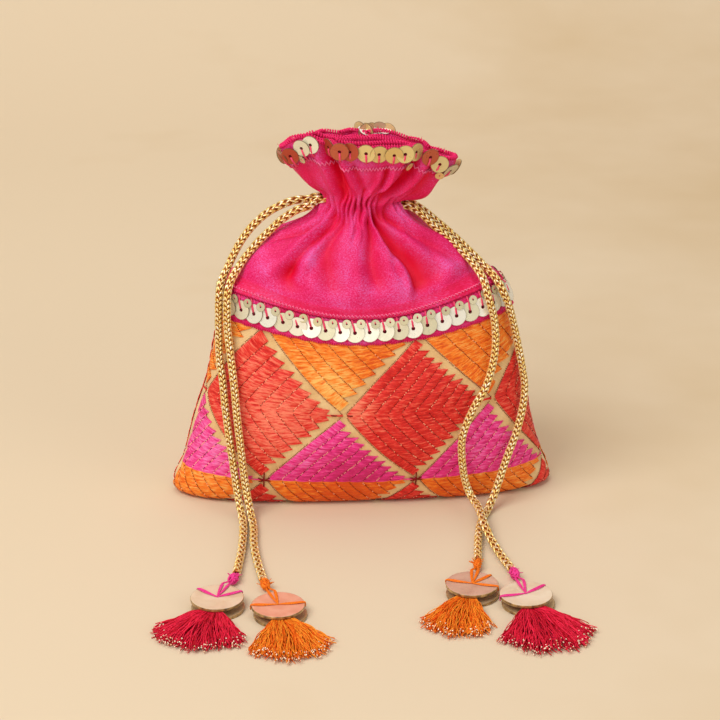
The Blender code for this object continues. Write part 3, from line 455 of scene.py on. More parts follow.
# %% The four free cord ends
leaf_points, leaf_faces, leaf_outness = leaf_mesh(STITCH_LENGTH, STITCH_WIDTH, STITCH_HEIGHT)
free_cords, cord_lengths = {}, {}
for which in CORD_ROUTES:
    fine = cord_route(which, 0.0003)
    route, longer = stitch_marks(fine)
    tangent, face, cross = frames_along(route)
    core_points, core_faces = tube_mesh(route[::2], CORE_RADIUS, CORE_SIDES)
    origins, axes = [], []
    for column in range(STITCH_COLUMNS):
        angle = 2.0 * math.pi * (column + 0.5) / STITCH_COLUMNS
        rows = np.arange(1 + (column // 2) % 2, len(route) - 1, 2)
        outward = math.cos(angle) * face[rows] + math.sin(angle) * cross[rows]
        around = np.cross(tangent[rows], outward)
        lean = STITCH_LEAN * (1 if column % 2 else -1)
        along = math.cos(lean) * tangent[rows] + math.sin(lean) * around
        origins.append(route[rows] + outward * CORE_RADIUS)
        axes.append(np.stack((along * longer[rows], np.cross(outward, along), outward), axis=1))
    origins, axes = np.vstack(origins), np.vstack(axes)
    leaves, faces_of_leaves = repeat_mesh(leaf_points, leaf_faces, origins, axes)
    points, faces = merge_meshes([(core_points, core_faces), (leaves, faces_of_leaves)])
    cord = new_piece(which + "_knitted_cord", above_floor(points), faces, gold_yarn)
    set_attribute(
        cord, "crown", np.concatenate((np.zeros(len(core_points)), np.tile(leaf_outness, len(origins)))))
    free_cords[which] = join_frame(cord, "gold_cord", which + "_cord")
    cord_lengths[which] = float(np.linalg.norm(np.diff(fine, axis=0), axis=1).sum())
    print(which, "cord has", len(origins), "stitches over", round(cord_lengths[which], 3), "m")

# %% [markdown]
# ## Floor, backdrop and light
# The photo has a pale beige sweep, lit softly from the left and above, with a faint shadow under the
# bag. One sheet of paper that curves up behind gives that. Big soft lamps and an even world keep
# colours near what they are written as.

# %% Seamless sweep
paper, tree, shader = start_material("beige_paper", Roughness=0.95, Specular_IOR_Level=0.15)
coords = add_node(tree, "TexCoord").outputs["Object"]
cloud = add_node(tree, "TexNoise", {"Vector": coords, "Scale": 3.0, "Detail": 4.0, "Roughness": 0.6})
axes = add_node(tree, "SeparateXYZ", {"Vector": coords})
# Painted shade: the paper is made darker towards the right, away from the key lamp on the left
painted_shade_to_right = add_node(tree, "MapRange", {"Value": axes.outputs["X"], "From Min": -0.5, "From Max": 0.7,
                                   "To Min": 0.75, "To Max": 0.15})
mottle_and_painted_shade = add_node(tree, "Math", {0: cloud, 1: painted_shade_to_right})
tint = add_node(tree, "ValToRGB", {"Fac": mottle_and_painted_shade}, ramp=((0.45, "#CCB28B"), (1.3, "#DDCAAE")))
# Away from the bag the paper lies nearer to the light and is a little paler
lighter = add_node(tree, "MapRange", {"Value": axes.outputs["Y"], "From Min": 0.25, "From Max": 1.3,
                                      "To Min": 1.0, "To Max": 1.17})
paled = add_node(tree, "Mix", {0: 1.0, 6: tint, 7: lighter}, data_type="RGBA", blend_type="MULTIPLY")
feed(paled.outputs[2], shader.inputs["Base Color"])

# %% The sheet itself, bent up behind the bag
SWEEP_FRONT, SWEEP_HALF_LENGTH, SWEEP_SIDE = -2.2, 3.1, 3.2
SWEEP_START, SWEEP_RADIUS = 0.75, 0.9
bpy.ops.object.select_all(action="DESELECT")
bpy.ops.mesh.primitive_grid_add(x_subdivisions=2, y_subdivisions=60, size=2.0)
sweep = bpy.context.object
sweep.name = "paper_sweep"
for vert in sweep.data.vertices:
    way = SWEEP_FRONT + (vert.co.y + 1.0) * SWEEP_HALF_LENGTH
    angle = min(max(way - SWEEP_START, 0.0) / SWEEP_RADIUS, math.pi / 2.0)
    beyond = max(way - SWEEP_START - SWEEP_RADIUS * math.pi / 2.0, 0.0)
    vert.co = (vert.co.x * SWEEP_SIDE, min(way, SWEEP_START) + SWEEP_RADIUS * math.sin(angle),
               SWEEP_RADIUS * (1.0 - math.cos(angle)) + beyond)
sweep.data.shade_smooth()
sweep.data.materials.append(paper)

# %% Lamps and world
world = bpy.data.worlds.new("studio")
world.use_nodes = True
background = world.node_tree.nodes["Background"]
background.inputs["Color"].default_value = linear("#FFFCF8")
background.inputs["Strength"].default_value = 0.38
bpy.context.scene.world = world
bpy.context.scene.view_settings.view_transform = "Standard"
# Each softbox: its place and size in metres, its power in watts and its colour
SOFTBOXES = {
    "key": ((-1.0, -0.9, 1.8), (1.4, 1.2), 30.5, "#FFFDF8"),
    "fill": ((1.6, -1.4, 1.1), (1.4, 1.2), 8.0, "#FFFCF6"),
    "low_front": ((-0.5, -2.2, 0.6), (1.4, 0.9), 7.0, "#FFFCF6"),
    "top": ((0.1, 0.5, 1.9), (1.2, 0.9), 8.0, "#FFFFFF"),
}
LIT_SPOT = Vector((0.0, -0.03, 0.1))
for name, (spot, size, watts, colour) in SOFTBOXES.items():
    data = bpy.data.lights.new(name + "_softbox", "AREA")
    data.shape = "RECTANGLE"
    data.size, data.size_y = size
    data.energy = watts
    data.color = linear(colour)[:3]
    lamp = bpy.data.objects.new(name + "_softbox", data)
    lamp.location = spot
    lamp.rotation_euler = (LIT_SPOT - Vector(spot)).to_track_quat("-Z", "Y").to_euler()
    bpy.context.scene.collection.objects.link(lamp)
print("softboxes", ", ".join(SOFTBOXES))

# %% [markdown]
# ## The bag's surface
# Every cloth piece lies on one surface, the same as the CAD model's: a stack of ovals from the floor
# to the rim, each known by its level. A point on it is named by its level and its turn, a share of
# the way round from the front centre. The surface is worked out once on a fine grid, and points are
# read from the grid, so thousands of stitches can be placed at once.

# %% Outline of the bag
BASE_HALF_WIDTH, BASE_HALF_DEPTH, BASE_FLAT_INSET = 0.1113, 0.033, 0.006
BASE_ROUND, BASE_SHIFT = 0.004, 0.0012
BELLY_DEPTH, BELLY_SHIFT = 0.0105, 0.003
HEM_HEIGHT, HEM_SIDE_RISE, HEM_HALF_WIDTH, HEM_HALF_DEPTH = 0.1155, 0.012, 0.0785, 0.0345
YOKE_SHIFT = -0.0033
NECK_HEIGHT, NECK_SIDE_RISE, NECK_HALF_DEPTH = 0.175, -0.0005, 0.0136
RIM_HEIGHT, RIM_SIDE_RISE, RIM_HALF_WIDTH, RIM_HALF_DEPTH = 0.208, -0.004, 0.048, 0.0195
RIM_SHIFT, RIM_TILT = 0.005, -0.005
# Share of the stretch climbed, share of the change in width, bulge or flattening, shift, and power
BODY_OUTLINE = (
    (0.14, 0.152, 0.46, 0.3, 2.5), (0.38, 0.41, 1.00, 0.6, 2.4), (0.58, 0.588, 0.96, 1.00, 2.35),
    (0.72, 0.7, 0.7, 1.00, 2.3), (0.9, 0.863, 0.3, 0.8, 2.25), (1.000, 1.000, 0.00, 0.00, 2.2),
)
YOKE_OUTLINE = (
    (0.06, 0.17, 0.06, 0.6, 2.1), (0.16, 0.256, 0.13, 0.8, 2.1), (0.33, 0.375, 0.28, 1.00, 2.05),
    (0.5, 0.511, 0.44, 0.95, 2.0), (0.66, 0.707, 0.62, 0.5, 2.0), (0.8, 0.869, 0.8, 0.00, 2.0),
    (0.92, 0.962, 0.95, 0.00, 2.1), (1.000, 1.000, 1.00, 0.00, 2.2),
)
FRILL_OUTLINE = (
    (0.15, 0.09, 0.07, 0.33, 2.1), (0.33, 0.45, 0.32, 0.73, 2.0), (0.64, 0.79, 0.66, 1.00, 2.0),
    (1.000, 1.000, 1.00, 1.00, 2.0),
)
# Where the rim rises and dips, as turn and height
FRILL_LIFTS = ((-0.25, -0.0045), (-0.172, 0.0066), (0.11, 0.003), (0.28, -0.002))
FRILL_LIFT_WIDTH = 0.055


def share(low, high, fraction):
    """A value part of the way from low to high."""
    return low + (high - low) * fraction


def ease(low, high, value):
    """0 below low and 1 above high, with a soft rise between them."""
    f = np.clip((np.asarray(value, float) - low) / (high - low), 0.0, 1.0)
    return f * f * (3.0 - 2.0 * f)


def turns_away(turn, where):
    """The shorter way round from one turn to another, as a share of the whole."""
    return (turn - where + 0.5) % 1.0 - 0.5


def creases(folds, width, turn):
    """The depth of a row of soft folds, given as (turn, depth), at a turn."""
    depth = np.zeros_like(np.asarray(turn, float))
    for where, deep in folds:
        depth = depth + deep * np.exp(-(turns_away(turn, where) / width) ** 2)
    return depth


# %% Stations of the outline
# Each row: level, rise at the sides, shift, tilt, half width, half depth and the oval's power
rows = [(0.0, 0.0, BASE_SHIFT, 0.0, BASE_HALF_WIDTH - BASE_FLAT_INSET,
         BASE_HALF_DEPTH - BASE_FLAT_INSET, 2.6),
        (BASE_ROUND, 0.0, BASE_SHIFT, 0.0, BASE_HALF_WIDTH, BASE_HALF_DEPTH, 2.6)]
for height, narrowing, bulge, shift, power in BODY_OUTLINE:
    rows.append((HEM_HEIGHT * height, HEM_SIDE_RISE * height ** 1.3,
                 share(BASE_SHIFT * (1.0 - height), BELLY_SHIFT, shift), 0.0,
                 share(BASE_HALF_WIDTH, HEM_HALF_WIDTH, narrowing),
                 share(BASE_HALF_DEPTH, HEM_HALF_DEPTH, height) + BELLY_DEPTH * bulge, power))
for height, narrowing, flattening, shift, power in YOKE_OUTLINE:
    rows.append((share(HEM_HEIGHT, NECK_HEIGHT, height),
                 share(HEM_SIDE_RISE, NECK_SIDE_RISE, height ** 1.2), YOKE_SHIFT * shift, 0.0,
                 share(HEM_HALF_WIDTH, NECK_HALF_WIDTH, narrowing),
                 share(HEM_HALF_DEPTH, NECK_HALF_DEPTH, flattening), power))
for height, flare, deepening, shift, power in FRILL_OUTLINE:
    rows.append((share(NECK_HEIGHT, RIM_HEIGHT, height), share(NECK_SIDE_RISE, RIM_SIDE_RISE, height),
                 RIM_SHIFT * shift, RIM_TILT * height, share(NECK_HALF_WIDTH, RIM_HALF_WIDTH, flare),
                 share(NECK_HALF_DEPTH, RIM_HALF_DEPTH, deepening), power))
STATIONS = np.array(rows)


# %% The surface on a grid
def outline_at(levels):
    """The ovals at some levels, read from a curve with even tangents through the stations."""
    heights = STATIONS[:, 0]
    slopes = np.diff(STATIONS, axis=0) / np.diff(heights)[:, None]
    before, after = slopes[:-1], slopes[1:]
    same_way = before * after > 0.0
    tangents = np.zeros_like(STATIONS)
    tangents[0] = slopes[0]
    tangents[1:-1] = np.where(same_way, 2.0 * before * after / np.where(same_way, before + after, 1.0), 0.0)
    i = np.clip(np.searchsorted(heights, levels, side="right") - 1, 0, len(heights) - 2)
    span = (heights[i + 1] - heights[i])[:, None]
    f = (levels - heights[i])[:, None] / span
    return ((2 * f ** 3 - 3 * f ** 2 + 1) * STATIONS[i] + (f ** 3 - 2 * f ** 2 + f) * tangents[i] * span
            + (3 * f ** 2 - 2 * f ** 3) * STATIONS[i + 1] + (f ** 3 - f ** 2) * tangents[i + 1] * span)


GRID_TURNS, OVAL_STEPS = 960, 1440
GRID_LEVELS = np.concatenate(
    (np.linspace(0.0, BASE_ROUND, 12)[:-1], np.linspace(BASE_ROUND, RIM_HEIGHT, 400)))


def surface_grid():
    """Points, outward normals and the girth of the surface at every level and turn of the grid."""
    ovals = outline_at(GRID_LEVELS)
    angle = np.linspace(0.0, 2.0 * math.pi, OVAL_STEPS + 1)
    sine, cosine = np.sin(angle), np.cos(angle)
    turn = np.linspace(0.0, 1.0, GRID_TURNS + 1)
    from_centre = 0.25 - np.abs(0.25 - turn % 0.5)
    side = np.sin(2.0 * math.pi * turn)
    points, girths = [], []
    for level, (_, rise, shift, tilt, half_width, half_depth, power) in zip(GRID_LEVELS, ovals):
        x = half_width * np.sign(sine) * np.abs(sine) ** (2.0 / power) + shift
        y = -half_depth * np.sign(cosine) * np.abs(cosine) ** (2.0 / power)
        length = np.concatenate(([0.0], np.cumsum(np.hypot(np.diff(x), np.diff(y)))))
        lift = ease(NECK_HEIGHT, RIM_HEIGHT, level) * creases(FRILL_LIFTS, FRILL_LIFT_WIDTH, turn)
        z = level + rise * ease(0.0, 0.22, from_centre) ** 1.2 + tilt * side * np.abs(side) + lift
        shares = length / length[-1]
        points.append(np.stack((np.interp(turn, shares, x), np.interp(turn, shares, y), z), axis=1))
        girths.append(length[-1])
    points = np.array(points)
    around = np.gradient(points[:, :-1], axis=1)
    around[:, 0] = around[:, -1] = (points[:, 1] - points[:, -2]) / 2.0
    around = np.concatenate((around, around[:, :1]), axis=1)
    return points, unit(np.cross(around, np.gradient(points, axis=0))), np.array(girths)


POINTS, NORMALS, GIRTHS = surface_grid()


def place(level, turn, offset=0.0):
    """Points on the bag's surface at levels and turns, moved out along its normals."""
    level, turn, offset = np.broadcast_arrays(*(np.asarray(v, float) for v in (level, turn, offset)))
    row = np.interp(level, GRID_LEVELS, np.arange(len(GRID_LEVELS)))
    column = (turn % 1.0) * GRID_TURNS
    r = np.minimum(row.astype(int), len(GRID_LEVELS) - 2)
    c = np.minimum(column.astype(int), GRID_TURNS - 1)
    fr, fc = (row - r)[..., None], (column - c)[..., None]

    def read(grid):
        lower = grid[r, c] * (1 - fc) + grid[r, c + 1] * fc
        upper = grid[r + 1, c] * (1 - fc) + grid[r + 1, c + 1] * fc
        return lower * (1 - fr) + upper * fr

    return read(POINTS) + unit(read(NORMALS)) * offset[..., None]


def girth(level):
    """The length round the bag at a level."""
    return np.interp(level, GRID_LEVELS, GIRTHS)


# %% Ways up the front of the panel
PROFILE_LEVELS = np.linspace(0.0, HEM_HEIGHT, 160)
PROFILE_WAYS = ways_along(place(PROFILE_LEVELS, 0.0))


def level_at(way):
    """The level that a way up over the front of the panel reaches."""
    return np.interp(way, PROFILE_WAYS, PROFILE_LEVELS)


def way_to(level):
    """The way up over the front of the panel to a level."""
    return np.interp(level, PROFILE_LEVELS, PROFILE_WAYS)


print("girth at the base, hem, neck and rim:",
      [round(float(girth(level)), 3) for level in (BASE_ROUND, HEM_HEIGHT, NECK_HEIGHT, RIM_HEIGHT)])

# %% [markdown]
# ## Cut cloth
# A real bag starts as flat cloth, so each cloth piece starts as a flat grid. Its points are moved
# onto the bag, the two edges that meet are merged like a seam, and a solidify modifier gives it its
# thickness. The UV map keeps the flat cloth's own place in metres, so a weave or a slub follows it.

# %% Wrap a flat grid
def wrap_cloth(name, columns, rows, to_bag, flat_size, material, wall):
    """A grid moved onto the bag by to_bag(u, v), with u and v from 0 to 1, and given a wall."""
    bpy.ops.object.select_all(action="DESELECT")
    bpy.ops.mesh.primitive_grid_add(x_subdivisions=columns, y_subdivisions=rows, size=2.0)
    cloth = bpy.context.object
    cloth.name = cloth.data.name = name
    mesh = cloth.data
    u, v = ((point_places(mesh)[:, i] + 1.0) / 2.0 for i in (0, 1))
    uvs = np.stack((u * flat_size[0], v * flat_size[1]), axis=1)
    mesh.uv_layers[0].data.foreach_set("uv", uvs[corner_points(mesh)].astype(np.float32).ravel())
    mesh.vertices.foreach_set("co", to_bag(u, v).ravel())
    bpy.ops.object.mode_set(mode="EDIT")
    bpy.ops.mesh.select_all(action="SELECT")
    bpy.ops.mesh.remove_doubles(threshold=1e-5)
    bpy.ops.object.mode_set(mode="OBJECT")
    cloth.data.materials.append(material)
    finish_with(cloth, "SOLIDIFY", thickness=wall, offset=-1.0, use_even_offset=False)
    cloth.data.shade_smooth()
    return cloth

# %% [markdown]
# ## Ground cloth of the lower bag
# The embroidery is worked on a tan cotton with a plain weave. Cotton scatters light evenly, so it is
# rough, with a little sheen. Its threads are about 0.4 mm apart, finer than a pixel of the render,
# so the weave is drawn at 0.9 mm to show at all.

# %% Tan cotton
tan_cotton, tree, shader = start_material("plain_woven_cotton", Roughness=0.86, Sheen_Weight=0.25)
cloth_uv = add_node(tree, "UVMap", uv_map="UVMap")
weave_turned = add_node(tree, "Mapping", {"Vector": cloth_uv, "Rotation": (0.0, 0.0, math.pi / 2.0)})
# A wave texture of scale 1 repeats every 0.314 m
WEAVE_SPACING = 0.0009
WEAVE_SCALE = 0.314 / WEAVE_SPACING
warp, weft = (add_node(tree, "TexWave", {"Vector": way, "Scale": WEAVE_SCALE, "Distortion": 1.2,
                                         "Detail": 1.0})
              for way in (cloth_uv, weave_turned))
weave = add_node(tree, "Math", {0: warp.outputs["Fac"], 1: weft.outputs["Fac"]})
mottle = add_node(tree, "TexNoise", {"Vector": cloth_uv, "Scale": 60.0, "Detail": 5.0})
tan = add_node(
    tree, "ValToRGB", {"Fac": mottle}, ramp=((0.3, "#DCAC70"), (0.52, "#EEC68A"), (0.75, "#F8D8A2")))
shade = add_node(tree, "MapRange", {"Value": weave, "From Max": 2.0, "To Min": 0.86, "To Max": 1.06})
toned = add_node(tree, "Mix", {0: 1.0, 6: tan, 7: shade}, data_type="RGBA", blend_type="MULTIPLY")
bump = add_node(tree, "Bump", {"Height": weave, "Strength": 0.35, "Distance": 0.0003})
feed(toned.outputs[2], shader.inputs["Base Color"])
feed(bump, shader.inputs["Normal"])

# %% Panel cloth
PANEL_WALL, PANEL_TUCK, LINING_WALL = 0.0012, 0.005, 0.0006
PANEL_TOP = HEM_HEIGHT + PANEL_TUCK
BASE_ROWS, PANEL_ROWS, PANEL_COLUMNS = 6, 58, 256
# The share of the walls' rows that goes round the base's rounded edge
ROUND_SHARE = 0.08
SIDE_SEAMS, SIDE_SEAM_WIDTH = ((0.25, 0.0009), (0.75, 0.0009)), 0.006


def drape(level, turn):
    """How the filled cloth swells and sinks a little, more towards the middle of its height."""
    swell = (0.0005 * np.sin(2.0 * math.pi * (3.0 * turn + 0.13) + 22.0 * level)
             + 0.0004 * np.sin(2.0 * math.pi * (7.0 * turn + 0.41) - 61.0 * level)
             + 0.0003 * np.sin(2.0 * math.pi * (13.0 * turn + 0.77) + 140.0 * level))
    seam = creases(SIDE_SEAMS, SIDE_SEAM_WIDTH, turn)
    return (swell - 0.0004) * ease(0.002, 0.022, level) * (1.0 - ease(0.1, 0.112, level)) - seam


def panel_point(u, v, inset=0.0, floor=0.0):
    """The panel's cloth: its base spreads from a middle line, then its walls rise."""
    turn = 0.25 + u
    split = BASE_ROWS / (BASE_ROWS + PANEL_ROWS)
    climb = np.clip((v - split) / (1.0 - split), 0.0, 1.0)
    low_part = np.minimum(climb / ROUND_SHARE, 1.0) * BASE_ROUND
    high_part = np.clip((climb - ROUND_SHARE) / (1.0 - ROUND_SHARE), 0.0, 1.0) * (PANEL_TOP - BASE_ROUND)
    level = low_part + high_part
    walls = place(level, turn, drape(level, turn) - inset * ease(0.0, BASE_ROUND, level))
    spread = np.clip(v / split, 0.0, 1.0)[:, None]
    spine_end = BASE_HALF_WIDTH - BASE_HALF_DEPTH
    spine = walls * (1.0, 0.0, 0.0)
    spine[:, 0] = np.clip(spine[:, 0] - BASE_SHIFT, -spine_end, spine_end) + BASE_SHIFT
    walls = spine + (walls - spine) * np.where(climb[:, None] > 0.0, 1.0, spread)
    walls[:, 2] = np.maximum(walls[:, 2], floor)
    return walls


PANEL_FLAT = (0.555, 0.155)
panel = wrap_cloth(
    "panel_cloth", PANEL_COLUMNS, BASE_ROWS + PANEL_ROWS, panel_point, PANEL_FLAT, tan_cotton, PANEL_WALL)
join_frame(panel, "tan_cotton", "body_panel")

# %% [markdown]
# ## Lining
# A thin cotton pouch sits behind the embroidery and hides the backs of the stitches. It is seen only
# down the mouth, so it gets the same cloth, a little smaller, in a warmer tone.

# %% Lining cloth
lining_cotton, tree, shader = start_material("lining_cotton", Roughness=0.9, Sheen_Weight=0.2)
cloth_uv = add_node(tree, "UVMap", uv_map="UVMap")
lining_weave = add_node(
    tree, "TexWave", {"Vector": cloth_uv, "Scale": WEAVE_SCALE, "Distortion": 2.0, "Detail": 1.0})
lining_tone = add_node(
    tree, "ValToRGB", {"Fac": lining_weave.outputs["Fac"]}, ramp=((0.0, "#C98F74"), (1.0, "#DDAA8C")))
feed(lining_tone, shader.inputs["Base Color"])
LINING_SLACK = 0.0012
LINING_INSET = PANEL_WALL + 2.0 * CLEARANCE + LINING_SLACK
LINING_SHRINK = np.array((0.995, 0.99, 1.0))
LINING_COLUMNS, LINING_ROWS = 120, 33


def lining_point(u, v):
    """The panel's shape again, inside its wall and a little smaller."""
    return panel_point(u, v, LINING_INSET, PANEL_WALL + CLEARANCE) * LINING_SHRINK


lining = wrap_cloth(
    "lining_cloth", LINING_COLUMNS, LINING_ROWS, lining_point, PANEL_FLAT, lining_cotton, LINING_WALL)
join_frame(lining, "lining_cotton", "lining")

# %% [markdown]
# ## Embroidery
# The lattice of diamonds is traditional satin stitch in floss. In each half of a diamond the stitches
# lie in bands side by side. Every band starts at the middle line, runs parallel to the smooth left
# edge, and ends in a point on the right, so the right edge is toothed like a flame. A band is a
# small pillow of parallel threads, so each is its own crowned strip, laid out flat, trimmed to the
# panel and wrapped onto the bag.

# %% Satin floss
def satin_floss(name, deep, middle, light):
    """Untwisted shiny thread, laid side by side: streaks that run across each band."""
    made, tree, shader = start_material(name, Roughness=0.42, Anisotropic=0.5, Specular_IOR_Level=0.35)
    uv = add_node(tree, "UVMap", uv_map="cloth")
    # Threads are 0.35 mm wide. They are drawn at 0.6 mm, which is what a camera keeps of them
    fine = add_node(tree, "Mapping", {"Vector": uv, "Scale": (240.0, 1700.0, 1.0)})
    threads = add_node(tree, "TexNoise", {"Vector": fine, "Scale": 1.0, "Detail": 3.0, "Roughness": 0.7})
    broad = add_node(tree, "Mapping", {"Vector": uv, "Scale": (150.0, 620.0, 1.0)})
    bundles = add_node(tree, "TexNoise", {"Vector": broad, "Scale": 1.0, "Detail": 2.0, "Distortion": 0.4})
    # Painted light and shade on the satin, stored in the mesh, moves each place along the colour ramp
    painted_satin_light = add_node(tree, "Attribute", attribute_name="painted_satin_light")
    both = add_node(tree, "Math", {0: threads, 1: bundles})
    total = add_node(tree, "Math", {0: both, 1: painted_satin_light.outputs["Fac"]})
    scaled = add_node(tree, "MapRange", {"Value": total, "From Min": 0.68, "From Max": 1.4})
    tone = add_node(tree, "ValToRGB", {"Fac": scaled}, ramp=((0.14, deep), (0.48, middle), (0.88, light)))
    bump = add_node(tree, "Bump", {"Height": both, "Strength": 0.75, "Distance": 0.0006})
    feed(tone, shader.inputs["Base Color"])
    feed(bump, shader.inputs["Normal"])
    return made


FLOSS = {
    "red": satin_floss("red_satin_floss", "#C40E0A", "#EA2A22", "#FF8468"),
    "orange": satin_floss("orange_satin_floss", "#E25200", "#FF8418", "#FFC468"),
    "magenta": satin_floss("magenta_satin_floss", "#D0186A", "#F83292", "#FF84C8"),
}

# %% One diamond, laid flat
DIAMOND_HALF = 0.0438
SEAM_GAP, TIP_GAP, TOOTH = 0.0012, 0.0014, 0.003
BAND_BOW, BAND_BEND, BEND_REACH = 0.0016, 0.0012, 0.0024
LATTICE_SHIFT, SPLIT_ROW_WAY = -0.0158, 0.0215
BAND_ACROSS, BAND_STEP = 6, 0.0017
FLOSS_BASE, FLOSS_CROWN, FLOSS_WALL = 0.00045, 0.00095, 0.0004
# All handmade unevenness is drawn from this one seeded row of random numbers
wander = np.random.default_rng(11)


def band_layout(half, bands):
    """The bands of one half of a diamond: for each, its two seams from the middle line to its tooth."""
    reach = DIAMOND_HALF - SEAM_GAP
    step = np.arange(bands + 1) / bands
    tips = np.maximum(reach * (1.0 - step) - TIP_GAP * wander.uniform(0.6, 1.4, bands + 1), 0.0006)
    tips[0] = reach
    notches = np.maximum(tips - TOOTH * wander.uniform(0.8, 1.15, bands + 1), 0.0005)
    notches[0] = reach - 0.0015

    def seam(k, top, rows):
        y = np.linspace(0.0, top, rows + 1)
        bow = BAND_BOW * np.sin(math.pi * y / reach) * (1.0 - step[k])
        # Near the middle line the bands bend over into the other half's
        bend = BAND_BEND * np.exp(-y / BEND_REACH)
        return np.stack((2.0 * reach * step[k] - reach + y - bow + bend, half * y), axis=1)

    layout = []
    for k in range(bands):
        rows = max(3, round(max(notches[k], tips[k + 1]) * math.sqrt(2.0) / BAND_STEP))
        layout.append((seam(k, notches[k], rows), seam(k + 1, tips[k + 1], rows)))
    return layout


def band_patch(left, right):
    """A crowned strip between two seams: flat place, height above the cloth and UV in metres."""
    across = np.linspace(0.0, 1.0, BAND_ACROSS + 1)
    flat = left[:, None] + (right - left)[:, None] * across[None, :, None]
    rows = len(left)
    crown = (1.0 - np.abs(2.0 * across - 1.0) ** 2.5)[None, :]
    end = 1.0 - 0.6 * ease(0.8, 1.0, np.linspace(0.0, 1.0, rows))[:, None]
    ripple = 1.0 + 0.14 * np.sin(np.arange(rows) * 1.9 + left[0, 0] * 900.0)[:, None]
    height = FLOSS_BASE + (FLOSS_CROWN - FLOSS_BASE) * crown * end * ripple
    points = np.concatenate((flat, height[..., None]), axis=2).reshape(-1, 3)
    along = ways_along(left)
    width = np.linalg.norm(right - left, axis=1)[:, None] * across[None, :]
    n = BAND_ACROSS + 1
    uvs = np.stack((width + wander.uniform(0.0, 1.0), np.repeat(along[:, None], n, axis=1)), axis=2)
    faces = [(r * n + c, r * n + c + 1, (r + 1) * n + c + 1, (r + 1) * n + c)
             for r in range(rows - 1) for c in range(BAND_ACROSS)]
    return points, faces, uvs.reshape(-1, 2)


# %% The lattice and its place on the bag
FLOSS_LOW, FLOSS_HIGH = 0.0004, HEM_HEIGHT - 0.0105
SIDE_MARGIN = 0.0022
# Each side of the bag, by the turn of its middle
SIDES = {"front": 0.0, "back": 0.5}


def panel_edges():
    """The lines, in flat places, that the embroidery stops at: each a point and its way out."""
    low, high = float(way_to(FLOSS_LOW)), float(way_to(FLOSS_HIGH))
    bottom, top = (float(girth(level)) / 4.0 - SIDE_MARGIN for level in (BASE_ROUND, FLOSS_HIGH))
    lines = [((0.0, low), (0.0, -1.0)), ((0.0, high), (0.0, 1.0))]
    for side in (-1, 1):
        lines.append(((side * bottom, low), (side * (high - low), bottom - top)))
    return lines


def diamonds():
    """Centre, colour, half and number of bands of every half diamond of the lattice."""
    for row in range(-1, 4):
        for column in range(-3, 4):
            if (column - row) % 2 == 0:
                centre = np.array(
                    (LATTICE_SHIFT + column * DIAMOND_HALF, SPLIT_ROW_WAY + row * DIAMOND_HALF))
                split = row % 2 == 0
                # Sewn by hand, so some diamonds have finer bands
                fine = 11 if column > 0 or row == 0 else 9
                yield centre, "magenta" if split else "red", 1, fine
                yield centre, "orange" if split else "red", -1, 8 if split and row > 0 else fine


def on_panel(flat, side, height):
    """Flat places on the panel, wrapped onto the front or the back of the bag."""
    level = level_at(flat[:, 1])
    turn = flat[:, 0] / girth(level) + SIDES[side]
    return place(level, turn, drape(level, turn) + height)


# %% Painted satin light
# Painted light on the satin, where its threads would face the lamps, and painted shade where the
# strength is below 0: each place is flat x and way up, reach and strength
PAINTED_SATIN_LIGHTS = ((-0.054, 0.06, 0.024, 0.24), (-0.006, 0.066, 0.011, 0.22), (0.034, 0.07, 0.02, -0.06),
          (-0.02, 0.083, 0.015, 0.2), (0.006, 0.092, 0.012, -0.14), (-0.034, 0.032, 0.016, 0.1),
          (0.004, 0.03, 0.014, -0.05), (-0.092, 0.036, 0.018, 0.16), (-0.016, 0.012, 0.03, -0.26),
          (0.066, 0.036, 0.014, 0.06), (-0.078, 0.092, 0.016, 0.1), (0.05, 0.01, 0.016, -0.16))


def painted_satin_light_at(flat):
    """How much painted light or painted shade the satin gets at flat places."""
    painted_satin_light = np.zeros(len(flat))
    for x, y, reach, strength in PAINTED_SATIN_LIGHTS:
        away = np.hypot(flat[:, 0] - x, flat[:, 1] - y) / reach
        painted_satin_light += strength * np.exp(-away ** 2)
    return painted_satin_light


# %% Trimmed to the panel
def trim_to_panel(floss):
    """Cuts the flat embroidery off at the panel's edges, cleans the cuts and turns its faces up."""
    builder = bmesh.new()
    builder.from_mesh(floss.data)
    for spot, outward in panel_edges():
        everything = builder.verts[:] + builder.edges[:] + builder.faces[:]
        bmesh.ops.bisect_plane(builder, geom=everything, plane_co=(*spot, 0.0),
                               plane_no=(*outward, 0.0), clear_outer=True, dist=1e-6)
    bmesh.ops.remove_doubles(builder, verts=builder.verts, dist=2e-5)
    bmesh.ops.dissolve_degenerate(builder, edges=builder.edges, dist=1e-6)
    bmesh.ops.recalc_face_normals(builder, faces=builder.faces)
    for face in builder.faces:
        if face.normal.z < 0.0:
            face.normal_flip()
    builder.to_mesh(floss.data)
    builder.free()


